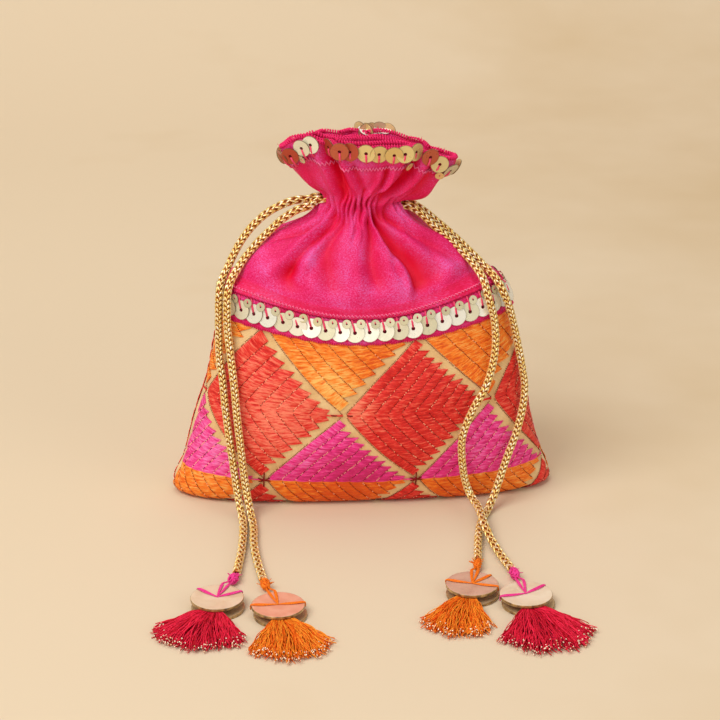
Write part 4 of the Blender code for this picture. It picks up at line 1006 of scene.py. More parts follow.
# %% Both sides embroidered
stitch_rows = {}
for side in SIDES:
    patches = {"red": [], "orange": [], "magenta": []}
    for centre, colour, half, bands in diamonds():
        for k, (left, right) in enumerate(band_layout(half, bands)):
            points, faces, uvs = band_patch(left, right)
            points[:, :2] += centre
            patches[colour].append((points, faces, uvs))
            kind = "outline" if k == 0 else colour
            # The row of stitches starts clear of the middle line, and runs out past the tooth
            line = np.vstack((left, left[-1] + (left[-1] - left[-2]) * 1.6))
            stitch_rows.setdefault((kind, side), []).append(line + centre)
    for colour, strips in patches.items():
        points, faces = merge_meshes([strip[:2] for strip in strips])
        uvs = np.vstack([strip[2] for strip in strips])
        floss = new_piece(side + "_" + colour + "_floss", points, faces, FLOSS[colour], uvs)
        trim_to_panel(floss)
        flat = point_places(floss.data)
        floss.data.vertices.foreach_set("co", above_floor(on_panel(flat, side, flat[:, 2])).ravel())
        floss.data.update()
        set_attribute(floss, "painted_satin_light", painted_satin_light_at(flat))
        finish_with(floss, "SOLIDIFY", thickness=FLOSS_WALL, offset=-1.0)
        smooth_up_to(floss, 40.0)
        nodes = [node for node in frame["nodes"] if node.startswith(f"floss_{colour}_{side}")]
        join_frame(floss, colour + "_floss", *nodes)

# %% Sewing thread
def spun_thread(name, dark, light, roughness=0.75):
    """Spun or stranded thread: soft, fairly rough, with fine twisted streaks."""
    made, tree, shader = start_material(name, Roughness=roughness, Specular_IOR_Level=0.18)
    coords = add_node(tree, "TexCoord").outputs["Object"]
    twist = add_node(tree, "TexNoise", {"Vector": coords, "Scale": 1300.0, "Detail": 2.0})
    strand = add_node(tree, "Attribute", attribute_name="shade")
    both = add_node(tree, "Math", {0: twist, 1: strand.outputs["Fac"]})
    tone = add_node(tree, "ValToRGB", {"Fac": both}, ramp=((0.25, dark), (1.0, light)))
    bump = add_node(tree, "Bump", {"Height": twist, "Strength": 0.4, "Distance": 0.0002})
    feed(tone, shader.inputs["Base Color"])
    feed(bump, shader.inputs["Normal"])
    return made


def mesh_arrays(thing):
    """A modelled object's points and faces. The object itself is then removed."""
    points = point_places(thing.data)
    faces = [tuple(face.vertices) for face in thing.data.polygons]
    bpy.data.objects.remove(thing, do_unlink=True)
    return points, faces


# %% Dotted stitches along the seams
# Along every seam, and beside every smooth edge, runs a row of tiny stitches, about 1 mm apart, that
# look like dark and pale dots. One dot is a sphere with only eight faces.
seam_thread = spun_thread("seam_stitch_thread", "#80100C", "#FFD2A8")
DOT_PITCH, DOT_SIZE = 0.00098, (0.00036, 0.00036, 0.00028)
bpy.ops.object.select_all(action="DESELECT")
bpy.ops.mesh.primitive_uv_sphere_add(segments=4, ring_count=2, radius=1.0)
dot_points, dot_faces = mesh_arrays(bpy.context.object)


def inside_panel(flat):
    """Which flat places lie inside the panel's edges, by 0.4 mm or more."""
    inside = np.ones(len(flat), bool)
    for spot, outward in panel_edges():
        inside &= (flat - np.array(spot)) @ np.array(outward) < -0.0004 * np.hypot(*outward)
    return inside


def dot_rows(lines, side, height, aside):
    """Dots along lines on the flat panel, wrapped onto the bag, each with its own little slip."""
    spots, ways = [], []
    for line in lines:
        run = ways_along(line)
        marks = np.arange(0.0012, run[-1], DOT_PITCH)
        spots.append(read_along(line, run, marks))
        ways.append(unit(read_along(np.gradient(line, run, axis=0), run, marks)))
    spots, ways = np.vstack(spots), np.vstack(ways)
    spots = spots + wander.normal(0.0, 0.00008, spots.shape)
    spots[:, 0] += aside
    keep = inside_panel(spots)
    spots, ways = spots[keep], ways[keep]
    here = on_panel(spots, side, height)
    along = unit(on_panel(spots + ways * 0.0004, side, height) - here)
    out = unit(on_panel(spots, side, height + 0.001) - here)
    axes = np.stack((along * DOT_SIZE[0], np.cross(out, along) * DOT_SIZE[1], out * DOT_SIZE[2]), axis=1)
    return repeat_mesh(dot_points, dot_faces, here, axes), len(here)


PALE_SHARE = {"red": 0.22, "orange": 0.12, "magenta": 0.45, "outline": 0.05}
for (kind, side), lines in stitch_rows.items():
    height, aside = (0.0004, -0.0007) if kind == "outline" else (0.00062, 0.0)
    (points, faces), count = dot_rows(lines, side, height, aside)
    dots = new_piece(side + "_" + kind + "_seam_stitches", above_floor(points), faces, seam_thread)
    pale = wander.random(count) < PALE_SHARE[kind]
    shades = np.where(pale, 0.55, wander.uniform(-0.45, -0.1, count))
    set_attribute(dots, "shade", np.repeat(shades, len(dot_points)))
    join_frame(dots, "red_floss" if kind == "outline" else kind + "_floss")
    print(count, "stitches beside the", kind, "bands at the", side)

# %% Stitches at the corners of the lattice
corner_thread = spun_thread("corner_stitch_thread", "#5A0C0C", "#B02018")
CORNER_STITCHES = (((0.0, 0.0052), (0.0, -0.0045)), ((-0.0034, 0.0009), (0.0036, -0.0008)),
                   ((-0.003, -0.0012), (0.0032, 0.0012)))
MIDDLE_STITCHES = (((-0.0066, 0.0002), (-0.0026, 0.0)), ((0.0026, 0.0), (0.0062, -0.0002)))


def corner_stitches(side):
    """Long stitches over the corners between diamonds, thicker in their middle."""
    parts = []
    f = np.linspace(0.0, 1.0, 7)
    for column, stitches in ((-1, CORNER_STITCHES), (1, CORNER_STITCHES), (0, MIDDLE_STITCHES)):
        corner = (LATTICE_SHIFT + column * DIAMOND_HALF, SPLIT_ROW_WAY + (0.0 if column else DIAMOND_HALF))
        for start, stop in stitches:
            line = np.outer(1.0 - f, start) + np.outer(f, stop) + corner
            path = on_panel(line, side, 0.0005 + 0.0006 * np.sin(math.pi * f))
            parts.append(tube_mesh(path, 0.00042, sides=5, facing=np.array((0.0, -1.0, 0.2))))
    return merge_meshes(parts)


for side in SIDES:
    join_frame(new_piece(side + "_corner_stitches", *corner_stitches(side), corner_thread), "red_floss")

# %% [markdown]
# ## Silk top
# The top is one tube of dupion, a plain silk with thick and thin yarns. It is sewn over the panel's
# edge, pulled into fine gathers where the cords run, and flares above them into a frill. The gathers
# are pillows of cloth with sharp valleys between them, so their shape is the size of a sine and not
# the sine itself. Below and above, they run together into a few deep folds, each with its own depth
# and reach.

# %% Dupion silk
dupion, tree, shader = start_material(
    "pink_dupion_silk", Roughness=0.52, Sheen_Weight=0.03, Sheen_Roughness=0.4, Specular_IOR_Level=0.22)
shader.inputs["Sheen Tint"].default_value = linear("#FF8CC8")
silk_uv = add_node(tree, "UVMap", uv_map="UVMap")
# Slubs are thick stretches of weft, about 1.6 mm long and 0.6 mm high, that run round the bag
slub_map = add_node(tree, "Mapping", {"Vector": silk_uv, "Scale": (640.0, 1650.0, 1.0)})
slubs = add_node(tree, "TexNoise", {"Vector": slub_map, "Scale": 1.0, "Detail": 3.0, "Roughness": 0.6})
# Across them run the thinner yarns of the warp
warp_map = add_node(tree, "Mapping", {"Vector": silk_uv, "Scale": (2000.0, 620.0, 1.0)})
warp_yarn = add_node(tree, "TexNoise", {"Vector": warp_map, "Scale": 1.0, "Detail": 3.0, "Roughness": 0.7})
bloom = add_node(tree, "TexNoise", {"Vector": silk_uv, "Scale": 42.0, "Detail": 3.0})
yarns = add_node(tree, "Math", {0: slubs, 1: warp_yarn})
with_bloom = add_node(tree, "Math", {0: yarns, 1: bloom})
spread = add_node(tree, "MapRange", {"Value": with_bloom, "From Min": 1.05, "From Max": 1.95})
silk_tone = add_node(
    tree, "ValToRGB", {"Fac": spread}, ramp=((0.1, "#CC064A"), (0.46, "#E61F6C"), (0.9, "#E26CBC")))
# Deeper, redder pink painted where shade falls in folds and gathers, and along the turned-up hem
painted_shade_and_hem_red = add_node(tree, "Attribute", attribute_name="painted_shade_and_hem_red")
silk_with_painted_shade = add_node(
    tree, "Mix", {0: painted_shade_and_hem_red.outputs["Fac"], 6: silk_tone, 7: linear("#DC0232")}, data_type="RGBA")
silk_bump = add_node(tree, "Bump", {"Height": yarns, "Strength": 0.45, "Distance": 0.0003})
feed(silk_with_painted_shade.outputs[2], shader.inputs["Base Color"])
feed(silk_bump, shader.inputs["Normal"])

# %% Folds of the yoke and frill
YOKE_WALL, YOKE_SKIRT = 0.0011, 0.001
# Each fold is a valley along a line on the cloth: its depth, its width to the left and to the
# right of the line at its foot, and the line as (height, turn). The first ten follow the photo
YOKE_FOLDS = (
    (0.0044, 0.0032, 0.004, ((0.168, -0.128), (0.152, -0.133), (0.142, -0.135), (0.13, -0.143))),
    (0.0034, 0.0065, 0.0095, ((0.136, -0.134), (0.125, -0.134), (0.1155, -0.13))),
    (0.0026, 0.004, 0.004, ((0.168, -0.16), (0.156, -0.178), (0.145, -0.222))),
    (0.0036, 0.0075, 0.009, ((0.167, -0.092), (0.157, -0.098), (0.144, -0.072), (0.128, -0.052))),
    (0.003, 0.0022, 0.0028, ((0.172, -0.024), (0.163, -0.021), (0.158, -0.021))),
    (0.0036, 0.0052, 0.0068, ((0.167, 0.028), (0.158, 0.033), (0.144, 0.029), (0.131, 0.04))),
    (0.0074, 0.0024, 0.012, ((0.17, 0.055), (0.158, 0.077), (0.15, 0.091), (0.14, 0.112),
                              (0.129, 0.113), (0.1155, 0.092))),
    (0.002, 0.0024, 0.0034, ((0.149, 0.087), (0.138, 0.084), (0.129, 0.094))),
    (0.0042, 0.005, 0.0046, ((0.169, 0.114), (0.156, 0.16), (0.144, 0.188), (0.13, 0.204))),
    (0.0018, 0.005, 0.005, ((0.144, 0.176), (0.13, 0.16), (0.1155, 0.124))),
    (0.0044, 0.006, 0.006, ((0.168, 0.3), (0.15, 0.322), (0.128, 0.335))),
    (0.0034, 0.005, 0.006, ((0.168, 0.365), (0.152, 0.372), (0.135, 0.368))),
    (0.0052, 0.007, 0.005, ((0.169, 0.425), (0.155, 0.418), (0.135, 0.41), (0.1155, 0.418))),
    (0.0036, 0.005, 0.005, ((0.168, 0.478), (0.15, 0.47), (0.134, 0.476))),
    (0.006, 0.008, 0.0044, ((0.169, 0.54), (0.155, 0.536), (0.138, 0.545), (0.1155, 0.556))),
    (0.0034, 0.005, 0.005, ((0.168, 0.592), (0.15, 0.606), (0.136, 0.6))),
    (0.005, 0.006, 0.007, ((0.168, 0.645), (0.15, 0.664), (0.128, 0.672))),
    (0.0034, 0.005, 0.005, ((0.168, 0.705), (0.152, 0.726), (0.136, 0.748))),
)
# Here the first six do
FRILL_FOLDS = (
    (0.0062, 0.005, 0.004, ((0.208, -0.108), (0.197, -0.104), (0.188, -0.092), (0.179, -0.1))),
    (0.0032, 0.0028, 0.0034, ((0.2, -0.094), (0.193, -0.09), (0.18, -0.06))),
    (0.0024, 0.0028, 0.0028, ((0.199, -0.05), (0.19, -0.036), (0.18, 0.000))),
    (0.0042, 0.003, 0.0024, ((0.1965, 0.044), (0.19, 0.05), (0.18, 0.032))),
    (0.0064, 0.006, 0.0046, ((0.208, 0.124), (0.198, 0.117), (0.189, 0.112), (0.18, 0.075))),
    (0.0032, 0.005, 0.005, ((0.208, 0.166), (0.198, 0.17), (0.184, 0.18))),
    (0.004, 0.006, 0.006, ((0.208, 0.33), (0.195, 0.335), (0.181, 0.345))),
    (0.003, 0.005, 0.005, ((0.208, 0.39), (0.195, 0.4), (0.181, 0.405))),
    (0.0046, 0.006, 0.006, ((0.208, 0.5), (0.195, 0.495), (0.181, 0.49))),
    (0.003, 0.005, 0.005, ((0.208, 0.57), (0.195, 0.575), (0.181, 0.56))),
    (0.0046, 0.006, 0.006, ((0.208, 0.65), (0.195, 0.655), (0.181, 0.65))),
)
FOLD_HEAD = 0.006


def fold_depth(folds, level, turn, rounds):
    """Sum of the folds: each a valley along its line, with a rounded bank at either side."""
    depth = np.zeros(level.shape)
    for deep, left, right, line in folds:
        heights, turns = np.array(sorted(line)).T
        line_turn = sum(np.interp(level + 0.002 * k, heights, turns) for k in range(-2, 3)) / 5.0
        away = turns_away(turn, line_turn)
        # Folds are narrow where the cloth is drawn in and open out as the bag widens
        opened = share(0.55, 1.0, ease(0.12, 0.34, rounds))
        side = away * rounds / (np.where(away < 0.0, left, right) * opened)
        # A fold dies away at its ends, unless they run out at the hem or the rim
        strength = deep
        if heights[0] >= HEM_HEIGHT + 0.001:
            strength = strength * ease(heights[0] - FOLD_HEAD, heights[0] + FOLD_HEAD, level)
        if heights[-1] <= RIM_HEIGHT - 0.001:
            strength = strength * ease(heights[-1] + FOLD_HEAD, heights[-1] - 0.5 * FOLD_HEAD, level)
        valley = np.exp(-np.abs(side) ** 1.7)
        bank = np.exp(-((np.abs(side) - 2.0) / 0.9) ** 2)
        depth = depth + strength * (valley - 0.3 * bank)
    return depth


# %% Gathers, fullness and creases
GATHERS = 33


def gather(level, turn):
    """Fine gathers at the neck: pillows with sharp valleys, of uneven width, depth and reach."""
    phase = (GATHERS * turn + 0.3 * np.sin(2.0 * math.pi * (3.0 * turn + 0.2))
             + 0.13 * np.sin(2.0 * math.pi * (8.0 * turn + 0.6)) + 14.0 * (level - NECK_HEIGHT)
             + 0.16 * np.sin(430.0 * (level - NECK_HEIGHT) + 37.0 * turn))
    pillow = np.abs(np.sin(math.pi * phase)) ** 0.85 - 0.62
    uneven = 0.95 + 0.3 * np.sin(2.0 * math.pi * (5.0 * turn + 0.35))
    reach = 0.0088 + 0.0026 * np.sin(2.0 * math.pi * (7.0 * turn + 0.1))
    far = (level - NECK_HEIGHT) / np.where(level > NECK_HEIGHT, 0.85 * reach, 1.25 * reach)
    return 0.0038 * pillow * uneven * np.exp(-np.abs(far) ** 2.2)


def broad_folds(level, turn):
    """The deep folds of the yoke below the neck and of the frill above it."""
    level, turn = np.broadcast_arrays(np.asarray(level, float), np.asarray(turn, float))
    rounds = girth(level)
    hem_calm = share(0.16, 1.0, ease(HEM_HEIGHT + 0.0055, HEM_HEIGHT + 0.0135, level))
    hem_calm = hem_calm * ease(HEM_HEIGHT, HEM_HEIGHT + 0.004, level)
    return -(hem_calm * fold_depth(YOKE_FOLDS, level, turn, rounds)
             + ease(NECK_HEIGHT, NECK_HEIGHT + 0.004, level) * fold_depth(FRILL_FOLDS, level, turn, rounds))


def fullness(level, turn):
    """Cloth that spills over: the yoke just above its hem, and the frill's right lobe at the neck."""
    over_hem = ease(HEM_HEIGHT, HEM_HEIGHT + 0.013, level) * (1.0 - ease(0.132, 0.16, level))
    ridge = np.exp(-((level - HEM_HEIGHT - 0.0036) / 0.0012) ** 2)
    lobe = creases(((0.232, 0.005),), 0.055, turn) * np.exp(-((level - 0.1845) / 0.0058) ** 2)
    return 0.0018 * over_hem + 0.0006 * ridge + lobe


def crumple(level, turn):
    """Small soft dents that handled silk keeps."""
    strength = ease(HEM_HEIGHT + 0.002, HEM_HEIGHT + 0.018, level)
    return strength * (0.00035 * np.sin(2.0 * math.pi * (11.0 * turn + 0.3) + 130.0 * level)
                       * np.sin(2.0 * math.pi * (4.0 * turn) - 210.0 * level)
                       + 0.00025 * np.sin(2.0 * math.pi * (23.0 * turn + 0.1) - 90.0 * level))


def silk_offset(level, turn):
    """How far out the silk lies from the bag's surface, with all its folds."""
    return (CLEARANCE + YOKE_WALL + broad_folds(level, turn) + gather(level, turn)
            + crumple(level, turn) + fullness(level, turn))


# %% Yoke and frill
SILK_COLUMNS, SILK_ROWS = 468, 92
SILK_FLAT = (0.375, 0.108)
HEM_EDGE = HEM_HEIGHT - YOKE_SKIRT


def silk_point(u, v):
    level = share(HEM_EDGE, RIM_HEIGHT, v)
    turn = 0.75 + u
    return place(level, turn, silk_offset(level, turn))


def cut_places(cloth, flat_size):
    """Where each point lies on the cut cloth, as shares of its width and its length."""
    layer = cloth.data.uv_layers["UVMap"].data
    spots = np.empty(len(layer) * 2, np.float32)
    layer.foreach_get("uv", spots)
    places = np.zeros((len(cloth.data.vertices), 2))
    places[corner_points(cloth.data)] = spots.reshape(-1, 2) / flat_size
    return places[:, 0], places[:, 1]


def painted_shade_and_hem_red_at(level, turn):
    """Share of deeper, redder pink: painted shade in folds, gathers and the lower frill, and a redder band
    along the turned-up hem.
    """
    sunk = -(0.55 * broad_folds(level, turn) + gather(level, turn))
    turned_up = 0.45 * (1.0 - ease(HEM_EDGE + 0.0052, HEM_EDGE + 0.0066, level))
    neck_shade = 0.35 * ease(NECK_HEIGHT - 0.006, NECK_HEIGHT + 0.004, level)
    neck_shade = neck_shade * (1.0 - ease(RIM_HEIGHT - 0.014, RIM_HEIGHT - 0.004, level))
    return np.clip(np.maximum(sunk / 0.003, turned_up) + neck_shade, 0.0, 1.0)


silk = wrap_cloth("silk_yoke_and_frill", SILK_COLUMNS, SILK_ROWS, silk_point, SILK_FLAT, dupion, YOKE_WALL)
u, v = cut_places(silk, SILK_FLAT)
# Painted shade: folds, gathers and the lower frill get a deeper, redder pink, and the turned-up hem a
# redder band
set_attribute(silk, "painted_shade_and_hem_red", painted_shade_and_hem_red_at(share(HEM_EDGE, RIM_HEIGHT, v), 0.75 + u))
join_frame(silk, "pink_silk", "yoke_and_frill")

# %% [markdown]
# ## Casing strip
# A strip of the same silk is sewn inside the neck, above and below the cords. It makes the channel
# that they run in. It lies close inside the gathers and can only be seen down the mouth.

# %% Casing strip
CASING_BOTTOM, CASING_TOP, CASED_CORD_DIAMETER = 0.009, 0.007, 0.004
# How far below and above the channel the strip's edges reach, and how far in from the silk they lie
LOWER_FLANGE, UPPER_FLANGE, FLANGE_INSET = 0.0055, 0.006, 0.0006
CASING_FLAT = (0.165, 0.03)


def casing_point(u, v):
    """In from the silk below the cords, up past them, and out to the silk again."""
    turn = 0.75 + u
    lowest, highest = -CASING_BOTTOM - LOWER_FLANGE, CASING_TOP + UPPER_FLANGE
    height = share(lowest, highest, v)
    inset = CASING_DEPTH + 2.0 * CLEARANCE + CASED_CORD_DIAMETER
    middle = ease(lowest, -CASING_BOTTOM, height) * (1.0 - ease(CASING_TOP, highest, height))
    waist = place(NECK_HEIGHT, turn, -inset)
    waist[:, 2] += height
    level = NECK_HEIGHT + height
    flange = place(level, turn, silk_offset(level, turn) - YOKE_WALL - CLEARANCE - FLANGE_INSET)
    return flange + (waist - flange) * middle[:, None]


casing = wrap_cloth("casing_strip", 160, 16, casing_point, CASING_FLAT, dupion, 0.0008)
join_frame(casing, "pink_silk", "casing_band")
# The cords run on round the neck in the channel, unseen. They are the CAD model's own
for cased in ("left_cased_cord", "right_cased_cord"):
    for finish in bpy.data.objects[cased].material_slots:
        finish.material = gold_yarn

# %% [markdown]
# ## Sequins
# Each lace is a tape with a row of big flat sequins that lap like scales, and a small sequin over
# every joint. A sequin is a disc punched from metallised film. One is modelled from a cylinder with
# few sides, its middle is taken out, and it is copied to every place with its own tilt, because
# small differences in tilt make sequins glitter.

# %% Metallised film
sequin_film, tree, shader = start_material("metallised_sequin_film", Metallic=0.32)
tint = add_node(tree, "Attribute", attribute_name="tint")
film = add_node(tree, "ValToRGB", {"Fac": tint.outputs["Fac"]},
                ramp=((0.0, "#B24028"), (0.12, "#BE6040"), (0.25, "#DDB866"), (0.42, "#E2CC8C"),
                      (0.5, "#C9C09C"), (0.62, "#DED8B8"), (1.0, "#FFFEF4")))
coords = add_node(tree, "TexCoord").outputs["Object"]
scuff = add_node(tree, "TexNoise", {"Vector": coords, "Scale": 260.0, "Detail": 2.0})
worn = add_node(
    tree, "MapRange", {"Value": scuff, "From Min": 0.3, "From Max": 0.7, "To Min": 0.26, "To Max": 0.36})
# The outer edge is drawn grey-brown, like a thin line round the sequin: partly the punched film's own
# edge, partly painted shade
edge = add_node(tree, "Attribute", attribute_name="edge")
edge_line_and_shade = add_node(
    tree, "MapRange", {"Value": edge.outputs["Fac"], "From Min": 0.25, "From Max": 1.0, "To Max": 0.85})
lined = add_node(tree, "Mix", {0: edge_line_and_shade, 6: film, 7: linear("#6A5236")}, data_type="RGBA")
feed(lined.outputs[2], shader.inputs["Base Color"])
feed(worn, shader.inputs["Roughness"])

# %% One sequin from a cylinder, 1 wide
SEQUIN_SIDES, SEQUIN_THICKNESS, SEQUIN_RIM, SEQUIN_FACE, SEQUIN_DISH = 18, 0.05, 0.03, 0.365, 0.006


def punch_sequin():
    """A thin disc with a hole: a cylinder, inset top and bottom, its middles bridged."""
    bpy.ops.object.select_all(action="DESELECT")
    bpy.ops.mesh.primitive_cylinder_add(vertices=SEQUIN_SIDES, radius=0.5, depth=SEQUIN_THICKNESS)
    disc = bpy.context.object
    edit_faces(disc, lambda face: abs(face.normal.z) > 0.9)
    bpy.ops.mesh.inset(thickness=SEQUIN_RIM, depth=0.0)
    bpy.ops.mesh.inset(thickness=SEQUIN_FACE, depth=-SEQUIN_DISH)
    bpy.ops.mesh.bridge_edge_loops()
    bpy.ops.object.mode_set(mode="OBJECT")
    return mesh_arrays(disc)


sequin_points, sequin_faces = punch_sequin()
on_edge = np.hypot(sequin_points[:, 0], sequin_points[:, 1]) > 0.49
print("one sequin has", len(sequin_faces), "faces")


# %% Frames on the cloth
def cloth_frame(level, turn, offset):
    """Origin and the ways round, up and out at places on a cloth, whose offset is a function."""
    def at(lv, tn):
        return place(lv, tn, offset(lv, tn))

    origin = at(level, turn)
    up = unit(at(level + 0.0008, turn) - at(level - 0.0008, turn))
    around = at(level, turn + 0.002) - at(level, turn - 0.002)
    out = unit(np.cross(around, up))
    return origin, np.cross(up, out), up, out


def tilted(around, up, out, lean, turned):
    """The three ways leaned back from the cloth and then turned about the way up, in radians."""
    lean, turned = lean[:, None], turned[:, None]
    up2 = np.cos(lean) * up + np.sin(lean) * out
    out2 = np.cos(lean) * out - np.sin(lean) * up
    around3 = np.cos(turned) * around + np.sin(turned) * out2
    return around3, up2, np.cos(turned) * out2 - np.sin(turned) * around


def sew_sequins(level, turn, diameter, offset, lift, lean, spread, rise=0.0, lap=0.075):
    """Sequins at places on the cloth. Their tilt differs a little, by the spread in radians."""
    count = len(turn)
    origin, around, up, out = cloth_frame(level, turn, offset)
    around, up, out = tilted(
        around, up, out, lean + wander.normal(0.0, spread, count), lap + wander.normal(0.0, spread, count))
    centres = origin + out * lift
    centres[:, 2] += rise
    axes = np.stack((around, up, out), axis=1) * diameter
    return repeat_mesh(sequin_points, sequin_faces, centres, axes), centres


def sew_stems(from_level, turn, centres, offset, thread, hole, upright=0.0):
    """A straight thread from the cloth's edge over each sequin and down into its hole."""
    turn = turn + upright * np.sin(2.0 * math.pi * turn) / (2.0 * math.pi)
    tops = place(from_level, turn, offset(from_level, turn) + thread)
    _, _, _, out = cloth_frame(from_level, turn, offset)
    parts = []
    for top, centre, away in zip(tops, centres, out):
        way = np.linspace(0.0, 1.0, 4)[:, None]
        into = centre + unit(top - centre) * hole
        path = top + (into - top) * way + away * (0.0007 * np.sin(math.pi * way) + 0.00045)
        path = np.vstack((path, into - away * 0.0009))
        parts.append(tube_mesh(path, thread, sides=5, facing=away))
    return merge_meshes(parts)


def painted_hole_shadows(centres, turn, level, offset, size):
    """A dark dot behind each hole: painted shade of the hole."""
    _, around, up, out = cloth_frame(level, turn, offset)
    axes = np.stack((around * size, up * size, out * 0.0003), axis=1)
    return repeat_mesh(dot_points, dot_faces, centres - out * 0.00035, axes)


# %% Sewing threads
pink_sewing = spun_thread("pink_sewing_thread", "#D80A50", "#FF4488")
pale_sewing = spun_thread("pale_pink_sewing_thread", "#F04484", "#FF9CC0")
coral_sewing = spun_thread("coral_sewing_thread", "#E8305E", "#FF6E90")
# Used only for the dark dots behind the sequins' holes, which are painted shade
hole_shadow_thread = spun_thread("hole_shadow_dark_red_thread", "#4A0810", "#7E1A20")
hem_fold_shade_thread = spun_thread("hem_fold_shade_pink_thread", "#8C0430", "#C81050")

# %% Lace round the hem
BIG_SEQUIN, SMALL_SEQUIN = 0.0112, 0.0052
HEM_SEQUINS = 48
BIG_DROP, SMALL_DROP = 0.0068, 0.0022


def hem_sequins():
    """The sequins of the hem, the threads that hold them and the painted shadows behind their holes."""
    k = np.arange(HEM_SEQUINS)
    big = (k + 0.15 + wander.uniform(-0.05, 0.05, HEM_SEQUINS)) / HEM_SEQUINS
    small = (k + 0.65 + wander.uniform(-0.07, 0.07, HEM_SEQUINS)) / HEM_SEQUINS
    # They hang flat. A few are lifted at the foot or turned up to the light
    lean = np.where(wander.random(HEM_SEQUINS) < 0.12, 0.1, -0.05)
    big_level = HEM_EDGE - BIG_DROP + wander.uniform(-0.0003, 0.0003, HEM_SEQUINS)
    small_level = HEM_EDGE - SMALL_DROP + wander.uniform(-0.0003, 0.0003, HEM_SEQUINS)
    bigs, big_at = sew_sequins(big_level, big, BIG_SEQUIN, drape, 0.002, lean, 0.018)
    smalls, small_at = sew_sequins(small_level, small, SMALL_SEQUIN, drape, 0.0029, lean * 0.5, 0.06)
    stems = merge_meshes([sew_stems(HEM_EDGE, big, big_at, drape, 0.00058, 0.0009, 0.055),
                          sew_stems(HEM_EDGE, small, small_at, drape, 0.00034, 0.0005, 0.02)])
    hole_shadows = merge_meshes([painted_hole_shadows(big_at, big, HEM_EDGE - BIG_DROP, drape, 0.00125),
                          painted_hole_shadows(small_at, small, HEM_EDGE - SMALL_DROP, drape, 0.00062)])
    return merge_meshes([bigs, smalls]), stems, hole_shadows


def mark_sequins(lace, tints):
    """Each sequin's tint, and its outer edge, drawn darker as partly the film's edge and partly painted
    shade.
    """
    set_attribute(lace, "tint", np.repeat(tints, len(sequin_points)))
    set_attribute(lace, "edge", np.tile(on_edge, len(tints)).astype(float))


(points, faces), stems, hole_shadows = hem_sequins()
hem_lace = new_piece("hem_sequins", points, faces, sequin_film, smooth=False)
# Painted reflection: over half the big sequins, picked at random, get a near-white tint as if they caught
# the lamps; the rest show the champagne film
big_tints_and_glints = np.where(wander.random(HEM_SEQUINS) < 0.55, 0.92, 0.66)
big_tints_and_glints = big_tints_and_glints + wander.normal(0.0, 0.06, HEM_SEQUINS)
small_tints = np.clip(wander.normal(0.52, 0.03, HEM_SEQUINS), 0.46, 0.6)
mark_sequins(hem_lace, np.concatenate((np.clip(big_tints_and_glints, 0.4, 1.0), small_tints)))
join_frame(hem_lace, "champagne_sequin", "hem_trim")
join_frame(new_piece("hem_sequin_threads", *stems, coral_sewing), "pink_thread")
join_frame(new_piece("hem_sequin_knots", *hole_shadows, hole_shadow_thread), "pink_thread")

# %% Tape under the hem sequins
TAPE_REACH = 0.015
# As long as the tape is half way down, between 0.38 m at its top edge and 0.41 m at its lower one
TAPE_FLAT = (0.395, TAPE_REACH)
TAPE_COLUMNS, TAPE_ROWS, TAPE_WALL = 400, 8, 0.0003


def tape_level(turn, v):
    """The level on the tape, whose foot is lightly scalloped under the sequins."""
    scallop = 0.0005 * np.abs(np.sin(math.pi * (HEM_SEQUINS * turn + 0.35)))
    return HEM_EDGE + 0.0012 - v * (TAPE_REACH - scallop)


def hem_tape_point(u, v):
    turn = 0.25 + u
    level = tape_level(turn, v)
    return place(level, turn, drape(level, turn) + 0.0006 + 0.0005 * v)


hem_tape = wrap_cloth("hem_tape", TAPE_COLUMNS, TAPE_ROWS, hem_tape_point, TAPE_FLAT, dupion, TAPE_WALL)
join_frame(hem_tape, "pink_silk")

# %% Overlocked edges and stitch lines
# Leans a little, so that no thread points straight along it
UP = np.array((0.02, 0.03, 1.0))
AROUND = 0.75 + np.linspace(0.0, 1.0, 720)
COIL_STEPS, COIL_SIDES = 8, 4


def wound_thread(path, coil, pitch, thread):
    """One thread wound round a path, as overlocking wraps the edge of a cloth."""
    ways = ways_along(path)
    marks = np.linspace(0.0, ways[-1], int(ways[-1] / pitch * COIL_STEPS))
    centre = read_along(path, ways, marks)
    _, face, cross = frames_along(centre, UP)
    angle = 2.0 * math.pi * np.arange(len(marks))[:, None] / COIL_STEPS
    return tube_mesh(centre + coil * (np.cos(angle) * face + np.sin(angle) * cross), thread, COIL_SIDES, UP)


def edge_path(level, offset, out):
    """A line all round the bag at a level, so far out from a cloth."""
    return place(level, AROUND, offset(level, AROUND) + out)


# The hem's own edge is overlocked in a deep pink thread, drawn dark as painted shade under the fold of
# the hem. A row of loops runs over it, paler where they stand up, and above that the ridge of the turned
# hem. Each row: its path, the radius and pitch of its coils, its thread's radius and its thread
HEM_ROWS = {
    "tape_overlock": (edge_path(tape_level(AROUND, 1.0) + 0.0001, drape, 0.0012),
                      0.00055, 0.0013, 0.00028, pink_sewing),
    # Painted shade: this edge row is wound in deep pink thread for the dark underside of the hem's fold
    "hem_overlock": (edge_path(HEM_EDGE + 0.0002, silk_offset, 0.0001),
                     0.0003, 0.0021, 0.00022, hem_fold_shade_thread),
    "hem_loop_row": (edge_path(HEM_EDGE + 0.0018, silk_offset, 0.0003),
                     0.00055, 0.0021, 0.00032, pale_sewing),
    "hem_stitch_row": (edge_path(HEM_EDGE + 0.0056, silk_offset, -0.0001),
                       0.0003, 0.0024, 0.0002, pink_sewing),
}
for name, (path, coil, pitch, thread, colour) in HEM_ROWS.items():
    join_frame(new_piece(name, *wound_thread(path, coil, pitch, thread), colour), "pink_thread")

# %% Lace round the mouth
MOUTH_SEQUIN, INNER_SEQUIN = 0.0104, 0.0078
MOUTH_TAPE = RIM_HEIGHT - 0.0098
